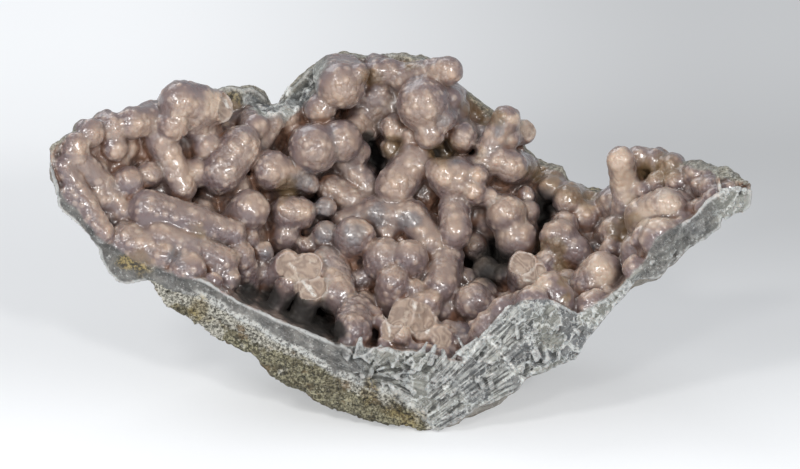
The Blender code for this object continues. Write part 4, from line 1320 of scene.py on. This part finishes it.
class Nodes:
    """Short calls for building a material's node tree."""

    def __init__(self, name):
        self.material = bpy.data.materials.new(name)
        self.material.use_nodes = True
        self.tree = self.material.node_tree
        self.shader = self.tree.nodes["Principled BSDF"]

    def new(self, kind, **settings):
        node = self.tree.nodes.new(kind)
        for key, value in settings.items():
            setattr(node, key, value)
        return node

    def put(self, value, socket):
        if isinstance(value, bpy.types.NodeSocket):
            self.tree.links.new(value, socket)
        elif isinstance(value, tuple) and len(value) == 3 and socket.type == "RGBA":
            socket.default_value = (*value, 1.0)
        else:
            socket.default_value = value

    def fill(self, node, **sockets):
        for name, value in sockets.items():
            self.put(value, node.inputs[name.replace("_", " ")])

    def filled(self, kind, **sockets):
        node = self.new(kind)
        self.fill(node, **sockets)
        return node

    def value(self, name):
        return self.new("ShaderNodeAttribute", attribute_name=name).outputs["Fac"]

    def math(self, operation, a, b=0.0, c=0.0, clamp=False):
        node = self.new("ShaderNodeMath", operation=operation, use_clamp=clamp)
        for value, socket in zip((a, b, c), node.inputs):
            self.put(value, socket)
        return node.outputs[0]

    def times(self, a, b):
        return self.math("MULTIPLY", a, b)

    def larger(self, a, b):
        return self.math("MAXIMUM", a, b)

    def ramp(self, value, low, high, out_low=0.0, out_high=1.0):
        node = self.new("ShaderNodeMapRange", interpolation_type="SMOOTHSTEP")
        for item, socket in zip((value, low, high, out_low, out_high), node.inputs):
            self.put(item, socket)
        return node.outputs[0]

    def mix(self, share, a, b, blend="MIX"):
        node = self.new("ShaderNodeMix", data_type="RGBA", blend_type=blend)
        self.put(share, node.inputs[0])
        self.put(a, node.inputs[6])
        self.put(b, node.inputs[7])
        return node.outputs[2]

    def between(self, value, low, high, a, b):
        """Colour a where the value is low, colour b where it is high."""
        return self.mix(self.ramp(value, low, high), a, b)

    def cover(self, under, value, most, shade):
        """A shade laid over a colour, by most times the value."""
        return self.mix(self.times(value, most), under, shade)

    def tints(self, under, rows):
        """Shades laid over a colour in turn: (value, where it starts, where it is full, most, shade)."""
        for value, start, full, most, shade in rows:
            under = self.mix(self.ramp(value, start, full, 0.0, most), under, shade)
        return under

    def vector(self, *parts):
        node = self.new("ShaderNodeCombineXYZ")
        for part, socket in zip(parts, node.inputs):
            self.put(part, socket)
        return node.outputs[0]

    def parts(self, vector):
        node = self.new("ShaderNodeSeparateXYZ")
        self.put(vector, node.inputs[0])
        return node.outputs

    def place(self, stretch=(1.0, 1.0, 1.0), turn=(0.0, 0.0, 0.0)):
        """Object coordinates in millimetres, turned and stretched."""
        coords = self.new("ShaderNodeTexCoord").outputs["Object"]
        scale = [1000.0 * s for s in stretch]
        return self.filled("ShaderNodeMapping", Vector=coords, Rotation=turn, Scale=scale).outputs[0]

    def swirled_place(self, wave, push):
        """Object coordinates in millimetres, pushed about by a soft cloud."""
        swirl = self.filled("ShaderNodeTexNoise", Vector=self.place(), Scale=wave)
        node = self.new("ShaderNodeVectorMath", operation="MULTIPLY_ADD")
        for value, socket in zip((swirl.outputs["Color"], [push] * 3, self.place()), node.inputs):
            self.put(value, socket)
        return node.outputs[0]

    def cloud(self, size, detail=3.0, rough=0.55, place=None, warp=0.0):
        grain = {"Scale": 1.0 / size, "Detail": detail, "Roughness": rough, "Distortion": warp}
        return self.filled("ShaderNodeTexNoise", Vector=place or self.place(), **grain).outputs["Fac"]

    def cells(self, size, feature="F1", place=None, out="Distance"):
        node = self.new("ShaderNodeTexVoronoi", feature=feature)
        self.fill(node, Vector=place or self.place(), Scale=1.0 / size)
        return node.outputs[out]

    def bump(self, height, strength, depth_mm, under=None):
        node = self.filled("ShaderNodeBump", Height=height, Strength=strength, Distance=depth_mm * 0.001)
        if under is not None:
            self.put(under, node.inputs["Normal"])
        return node.outputs[0]

    def set(self, **sockets):
        self.fill(self.shader, **sockets)


def skin_colour(n, cloudy, mottled, crease):
    """Creamy peach where a finger faces out of the bed, with painted light on its tips, ridges and bead
    tops; painted violet-grey shade on its flanks, painted shade between beads, painted brown shade in
    creases and painted near-black shade in the hollows.
    """
    warm = n.math("MULTIPLY_ADD", cloudy, 0.8, n.math("MULTIPLY_ADD", n.value("tone"), 0.45, -0.50))
    # Painted light: warmer and lighter towards the tips and on the ridges
    warm = n.math("MULTIPLY_ADD", n.ramp(n.value("growth"), 0.35, 1.0), 0.25, warm)
    warm = n.math("MULTIPLY_ADD", n.ramp(n.value("ridge"), -0.05, -0.26), 0.35, warm, clamp=True)
    skin = n.tints(n.mix(warm, (0.270, 0.199, 0.170), (0.588, 0.432, 0.316)), [
        (n.cloud(8.0, 2.0, 0.5), 0.56, 0.70, 0.5, (0.205, 0.175, 0.192)),
        (mottled, 0.52, 0.72, 0.3, (0.54, 0.43, 0.35)),
        # Painted shade: violet-grey on the flanks that turn away from the front of the bed
        (n.value("open"), 0.97, 0.35, 0.72, (0.135, 0.098, 0.112)),
        # Painted shade between the beads and painted highlights on their tops
        (n.value("cap"), 0.14, 0.0, 0.22, (0.175, 0.130, 0.135)),
        (n.value("cap"), 0.2, 0.8, 0.34, (0.62, 0.50, 0.41)),
    ])
    # Painted shade: brown to rust-brown in the creases and deep gaps
    crease_shade_colour = n.between(cloudy, 0.42, 0.62, (0.062, 0.038, 0.031), (0.165, 0.078, 0.044))
    skin = n.cover(skin, n.value("blue"), 0.8, (0.130, 0.142, 0.165))
    skin = n.mix(n.value("pale"), skin, (0.58, 0.455, 0.355))
    skin = n.cover(skin, crease, 0.85, crease_shade_colour)
    skin = n.cover(skin, n.value("iron"), 0.62, (0.205, 0.135, 0.060))
    # Painted shade: near-black in the open hollows between the fingers
    return n.cover(skin, n.value("hole"), 0.93, (0.012, 0.011, 0.009))


def chipped_colour(n, mottled, fine):
    """Pale, with growth bands and a white edge."""
    bands = n.math("SINE", n.times(n.cloud(3.6, 1.0, 0.4), 46.0))
    chipped = n.mix(n.ramp(bands, -1.0, 1.0, 0.0, 0.5), (0.32, 0.240, 0.195), (0.56, 0.435, 0.345))
    return n.tints(chipped, [
        (mottled, 0.54, 0.70, 0.5, (0.66, 0.57, 0.48)),
        (fine, -0.05, -0.20, 0.5, (0.70, 0.62, 0.56)),
    ])


def edge_colour(n, crumbs, streaks, swirled, veins, fine):
    """Grey-white splintery chalcedony with bluish patches, dark panes and white ridges."""
    torn = n.value("torn")
    patches = n.cloud(6.0, 2.0, 0.5)
    long_cells = n.vector(n.value("fan"), n.times(n.value("reach"), 0.17), n.times(crumbs, 1.2))
    flakes = n.cells(0.9, place=long_cells, out="Color")
    edge = n.between(streaks, 0.38, 0.62, (0.070, 0.071, 0.068), (0.37, 0.37, 0.34))
    edge = n.tints(edge, [
        (flakes, 0.62, 0.76, 0.45, (0.52, 0.525, 0.505)),
        (flakes, 0.44, 0.30, 0.7, (0.060, 0.062, 0.060)),
        (patches, 0.56, 0.66, 0.5, (0.120, 0.130, 0.150)),
        (patches, 0.44, 0.32, 0.45, (0.29, 0.265, 0.225)),
    ])
    panes = n.cells(4.6, place=swirled, out="Color")
    pane_rims = n.ramp(n.cells(4.6, "DISTANCE_TO_EDGE", swirled), 0.08, 0.02)
    pane_rims = n.times(pane_rims, n.times(torn, n.ramp(crumbs, 0.40, 0.52)))
    edge = n.cover(edge, torn, n.ramp(panes, 0.54, 0.60, 0.0, 0.65), (0.092, 0.097, 0.106))
    edge = n.cover(edge, torn, n.ramp(panes, 0.44, 0.38, 0.0, 0.55), (0.27, 0.27, 0.235))
    edge = n.cover(edge, pane_rims, 0.75, (0.66, 0.67, 0.65))
    glass = n.between(n.cloud(2.6, 3.0, 0.6), 0.40, 0.66, (0.055, 0.052, 0.050), (0.17, 0.162, 0.15))
    edge = n.tints(edge, [
        (torn, 0.6, 0.15, 0.8, glass),
        (crumbs, 0.57, 0.66, 0.5, (0.56, 0.56, 0.54)),
        (streaks, 0.66, 0.76, 0.5, (0.58, 0.58, 0.56)),
    ])
    edge = n.cover(edge, veins, 0.7, (0.66, 0.67, 0.66))
    # White crushed ridges, painted shade in the creases of the broken rim, and dark crumbs
    edge = n.tints(edge, [
        (fine, -0.05, -0.18, 0.65, (0.60, 0.61, 0.60)),
        (fine, 0.04, 0.17, 0.8, (0.045, 0.045, 0.042)),
        (crumbs, 0.40, 0.32, 0.7, (0.085, 0.085, 0.078)),
    ])
    fibres = n.between(streaks, 0.42, 0.58, (0.085, 0.086, 0.084), (0.60, 0.605, 0.58))
    fibre_share = n.ramp(n.cloud(3.6, 2.0, 0.5), 0.42, 0.56, 0.15, 0.62)
    rusty = n.between(crumbs, 0.42, 0.6, (0.035, 0.026, 0.012), (0.36, 0.27, 0.10))
    olive = n.between(crumbs, 0.40, 0.62, (0.135, 0.118, 0.084), (0.46, 0.43, 0.35))
    edge = n.cover(edge, n.value("fibrous"), fibre_share, fibres)
    edge = n.cover(edge, n.value("contact"), n.ramp(crumbs, 0.42, 0.54, 0.1, 0.8), SUGARY)
    edge = n.cover(edge, n.value("iron"), 0.8, rusty)
    return n.cover(edge, n.value("worn"), 0.85, olive)


def outside_colour(n, cloudy, crumbs, fine):
    """Weathered grey-brown with pale crumbs, dark pits and painted shade in its creases."""
    crust = n.between(cloudy, 0.36, 0.64, (0.185, 0.170, 0.148), (0.33, 0.31, 0.275))
    return n.tints(crust, [
        (n.cloud(9.0, 4.0, 0.65), 0.50, 0.68, 0.6, (0.165, 0.130, 0.072)),
        (crumbs, 0.56, 0.66, 0.6, (0.46, 0.445, 0.41)),
        (crumbs, 0.42, 0.34, 0.7, (0.070, 0.060, 0.046)),
        # Painted shade in the creases
        (fine, 0.05, 0.22, 0.8, (0.045, 0.038, 0.032)),
    ])


def chalcedony_look():
    n = Nodes("chalcedony")
    fine = n.value("fine")
    chip = n.value("chip")
    broken = n.value("broken")
    back = n.value("back")
    hole = n.value("hole")
    cloudy = n.cloud(5.0, 3.0, 0.6)
    mottled = n.cloud(1.7, 3.0, 0.6)
    crumbs = n.cloud(0.75, 4.0, 0.68)
    streaks = n.cloud(0.55, 3.0, 0.6, n.vector(n.value("fan"), n.times(n.value("reach"), 0.08)), 0.4)
    swirled = n.swirled_place(0.7, 2.6)
    crackled = n.times(n.ramp(n.cloud(1.6, 3.0, 0.6), 0.46, 0.56), n.value("torn"))
    veins = n.times(n.ramp(n.cells(1.3, "DISTANCE_TO_EDGE", swirled), 0.09, 0.02), crackled)
    # Painted shade: high in fine creases and in deep gaps between the lobes
    crease = n.larger(n.ramp(fine, 0.02, 0.18), n.ramp(n.value("deep"), 0.08, 0.28))
    crushed = n.times(n.value("white"), n.ramp(crumbs, 0.38, 0.54, 0.25, 0.95))
    skin = n.mix(chip, skin_colour(n, cloudy, mottled, crease), chipped_colour(n, mottled, fine))
    skin = n.mix(crushed, skin, (0.80, 0.77, 0.72))
    edge = n.mix(crushed, edge_colour(n, crumbs, streaks, swirled, veins, fine), (0.78, 0.78, 0.75))
    colour = n.mix(back, n.mix(broken, skin, edge), outside_colour(n, cloudy, crumbs, fine))
    matt = n.larger(back, n.times(n.larger(broken, chip), 0.7))
    dull = n.larger(matt, hole)
    rough = n.math("ADD", n.ramp(dull, 0.0, 1.0, 0.31, 0.74), n.ramp(mottled, 0.3, 0.7, -0.04, 0.08))
    gel = n.times(n.ramp(matt, 0.0, 1.0, 0.8, 0.15), n.ramp(n.larger(crease, hole), 0.0, 1.0, 1.0, 0.1))
    # Tiny bumps on the skin, chipping and grain on the broken parts
    beads = n.times(n.math("POWER", n.cells(1.05), 2.0), -1.0)
    beaded = n.ramp(n.cloud(7.0, 1.0, 0.5), 0.38, 0.58, 0.35, 1.0)
    normal = n.bump(beads, n.times(n.ramp(matt, 0.0, 0.6, 1.0, 0.0), beaded), 0.3)
    normal = n.bump(crumbs, n.ramp(matt, 0.1, 1.0, 0.02, 1.0), 0.45, normal)
    normal = n.bump(streaks, n.times(broken, 0.8), 0.3, normal)
    normal = n.bump(veins, broken, 0.35, normal)
    n.set(
        Base_Color=colour,
        Roughness=rough,
        Subsurface_Weight=gel,
        Subsurface_Scale=0.0026,
        Subsurface_Radius=(1.0, 0.72, 0.62),
        Coat_Weight=n.ramp(dull, 0.0, 0.7, 0.85, 0.0),
        Coat_Roughness=0.17,
        Normal=normal,
        IOR=1.54,
    )
    return n.material


def rock_look():
    """Pale speckled grey above and to the left, olive and dark below and to the right."""
    n = Nodes("host_rock")
    grain = n.cloud(0.55, 4.0, 0.7)
    slanting = n.place((0.45, 1.0, 1.0), (0.0, math.radians(-32.0), 0.0))
    lower = n.math("ADD", n.ramp(n.value("under"), 0.25, 0.8, -0.12, 0.10), n.cloud(5.0, 3.0, 0.6))
    lower = n.math("ADD", lower, n.ramp(n.parts(n.place())[0], -36.0, -14.0, -0.05, 0.13))
    pale = n.between(grain, 0.38, 0.60, (0.135, 0.128, 0.104), (0.60, 0.58, 0.505))
    olive = n.between(grain, 0.38, 0.60, (0.072, 0.064, 0.036), (0.37, 0.345, 0.235))
    rusty = n.between(grain, 0.4, 0.6, (0.13, 0.09, 0.035), (0.33, 0.26, 0.10))
    layers = n.ramp(n.cloud(2.4, 4.0, 0.65, slanting), 0.46, 0.60)
    crystals = n.ramp(n.cells(0.6), 0.24, 0.08)
    specks = n.ramp(n.cloud(0.42, 3.0, 0.8, slanting), 0.535, 0.60)
    stone = n.between(lower, 0.50, 0.60, pale, olive)
    stone = n.tints(stone, [(n.cloud(3.6, 3.0, 0.6), 0.56, 0.66, 0.6, (0.20, 0.125, 0.055))])
    stone = n.cover(stone, layers, n.ramp(lower, 0.46, 0.60, 0.0, 0.55), (0.085, 0.068, 0.038))
    stone = n.cover(stone, n.value("iron"), 0.6, rusty)
    stone = n.cover(stone, crystals, 0.5, (0.54, 0.53, 0.49))
    # Painted shade in the pits and creases of the rock
    stone = n.tints(stone, [
        (n.value("pit"), 0.5, 0.9, 0.4, (0.05, 0.047, 0.036)),
        (n.value("fine"), 0.03, 0.16, 0.85, (0.030, 0.027, 0.022)),
    ])
    stone = n.cover(stone, specks, 0.85, (0.026, 0.024, 0.019))
    stone = n.cover(stone, n.value("contact"), n.ramp(grain, 0.42, 0.56, 0.1, 0.8), SUGARY)
    normal = n.bump(specks, 0.8, -0.4, n.bump(grain, 0.9, 0.5))
    n.set(Base_Color=stone, Roughness=n.ramp(crystals, 0.0, 1.0, 0.82, 0.45), Normal=normal)
    return n.material


def floor_look():
    """White paper with a painted glow of its own, and painted light that falls off to pale grey behind the
    stone and to the right.
    """
    n = Nodes("paper")
    x, y, _ = n.parts(n.place())
    # Painted light: falls off behind the stone and to the right
    fall_right = n.times(n.ramp(x, -75.0, 75.0), n.ramp(y, 20.0, 150.0, -0.10, -0.36))
    tone = n.math("ADD", n.ramp(y, 60.0, 230.0, 0.82, 0.96), fall_right)
    tone = n.math("ADD", n.times(n.ramp(y, -45.0, 30.0), n.math("SUBTRACT", tone, 1.0)), 1.0)
    shade = n.new("ShaderNodeCombineColor")
    for part, tint in zip(shade.inputs, PAPER_TINT):
        n.put(n.times(tone, tint), part)
    reflected = n.mix(1.0, shade.outputs[0], (PAPER_SHARE, PAPER_SHARE, PAPER_SHARE), "MULTIPLY")
    n.set(
        Base_Color=reflected,
        Emission_Color=shade.outputs[0],
        Emission_Strength=PAPER_GLOW,
        Roughness=0.8,
        Specular_IOR_Level=0.1,
    )
    return n.material


def add_floor():
    """A wide flat sheet of pale paper under the stone."""
    side = FLOOR_SIDE / 2
    corners = [(-side, -side, 0.0), (side, -side, 0.0), (side, side, 0.0), (-side, side, 0.0)]
    mesh = bpy.data.meshes.new("floor")
    mesh.from_pydata(corners, [], [(0, 1, 2, 3)])
    mesh.materials.append(floor_look())
    floor = bpy.data.objects.new("floor", mesh)
    bpy.context.scene.collection.objects.link(floor)


def add_light(name, place, target, size, power, colour):
    lamp = bpy.data.lights.new(name, "AREA")
    lamp.shape = "RECTANGLE"
    lamp.size, lamp.size_y = size
    lamp.energy = power
    lamp.color = colour
    obj = bpy.data.objects.new(name, lamp)
    obj.location = place
    obj.rotation_euler = (Vector(target) - Vector(place)).to_track_quat("-Z", "Y").to_euler()
    bpy.context.scene.collection.objects.link(obj)


def add_studio():
    scene = bpy.context.scene
    world = bpy.data.worlds.new("studio")
    world.use_nodes = True
    sky = world.node_tree.nodes["Background"].inputs
    sky["Color"].default_value = SKY_COLOUR
    sky["Strength"].default_value = SKY_STRENGTH
    scene.world = world
    scene.view_settings.view_transform = "Standard"
    for lamp in LAMPS:
        add_light(*lamp)


def add_camera():
    """The face of the stone from 20 degrees above, through a long lens."""
    lens = bpy.data.cameras.new("camera")
    lens.lens = LENS
    lens.sensor_width = SENSOR
    lens.clip_end = 20.0
    away = PICTURE_WIDTH * LENS / SENSOR
    up = Vector((0.0, math.sin(LOOK_DOWN), math.cos(LOOK_DOWN)))
    back = Vector((0.0, -math.cos(LOOK_DOWN), math.sin(LOOK_DOWN)))
    middle = Vector((0.0, FRONT_Y * 0.001, 0.0)) + up * PICTURE_MIDDLE
    camera = bpy.data.objects.new("camera", lens)
    camera.location = middle + back * (away - CAMERA_NEARER)
    camera.rotation_euler = (math.radians(90.0) - LOOK_DOWN, 0.0, 0.0)
    bpy.context.scene.collection.objects.link(camera)
    bpy.context.scene.camera = camera


def main():
    points, quads, values, group = surface()
    normals = point_normals(points, quads)
    gem = chalcedony_look()
    rock = rock_look()
    for i, name in enumerate(PIECES):
        piece = make_piece(name, points, normals, quads[group == i], values, rock if i == 4 else gem)
        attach(piece, "root")
        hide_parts("host_rock" if i == 4 else "chalcedony")
    add_floor()
    add_studio()
    add_camera()


main()
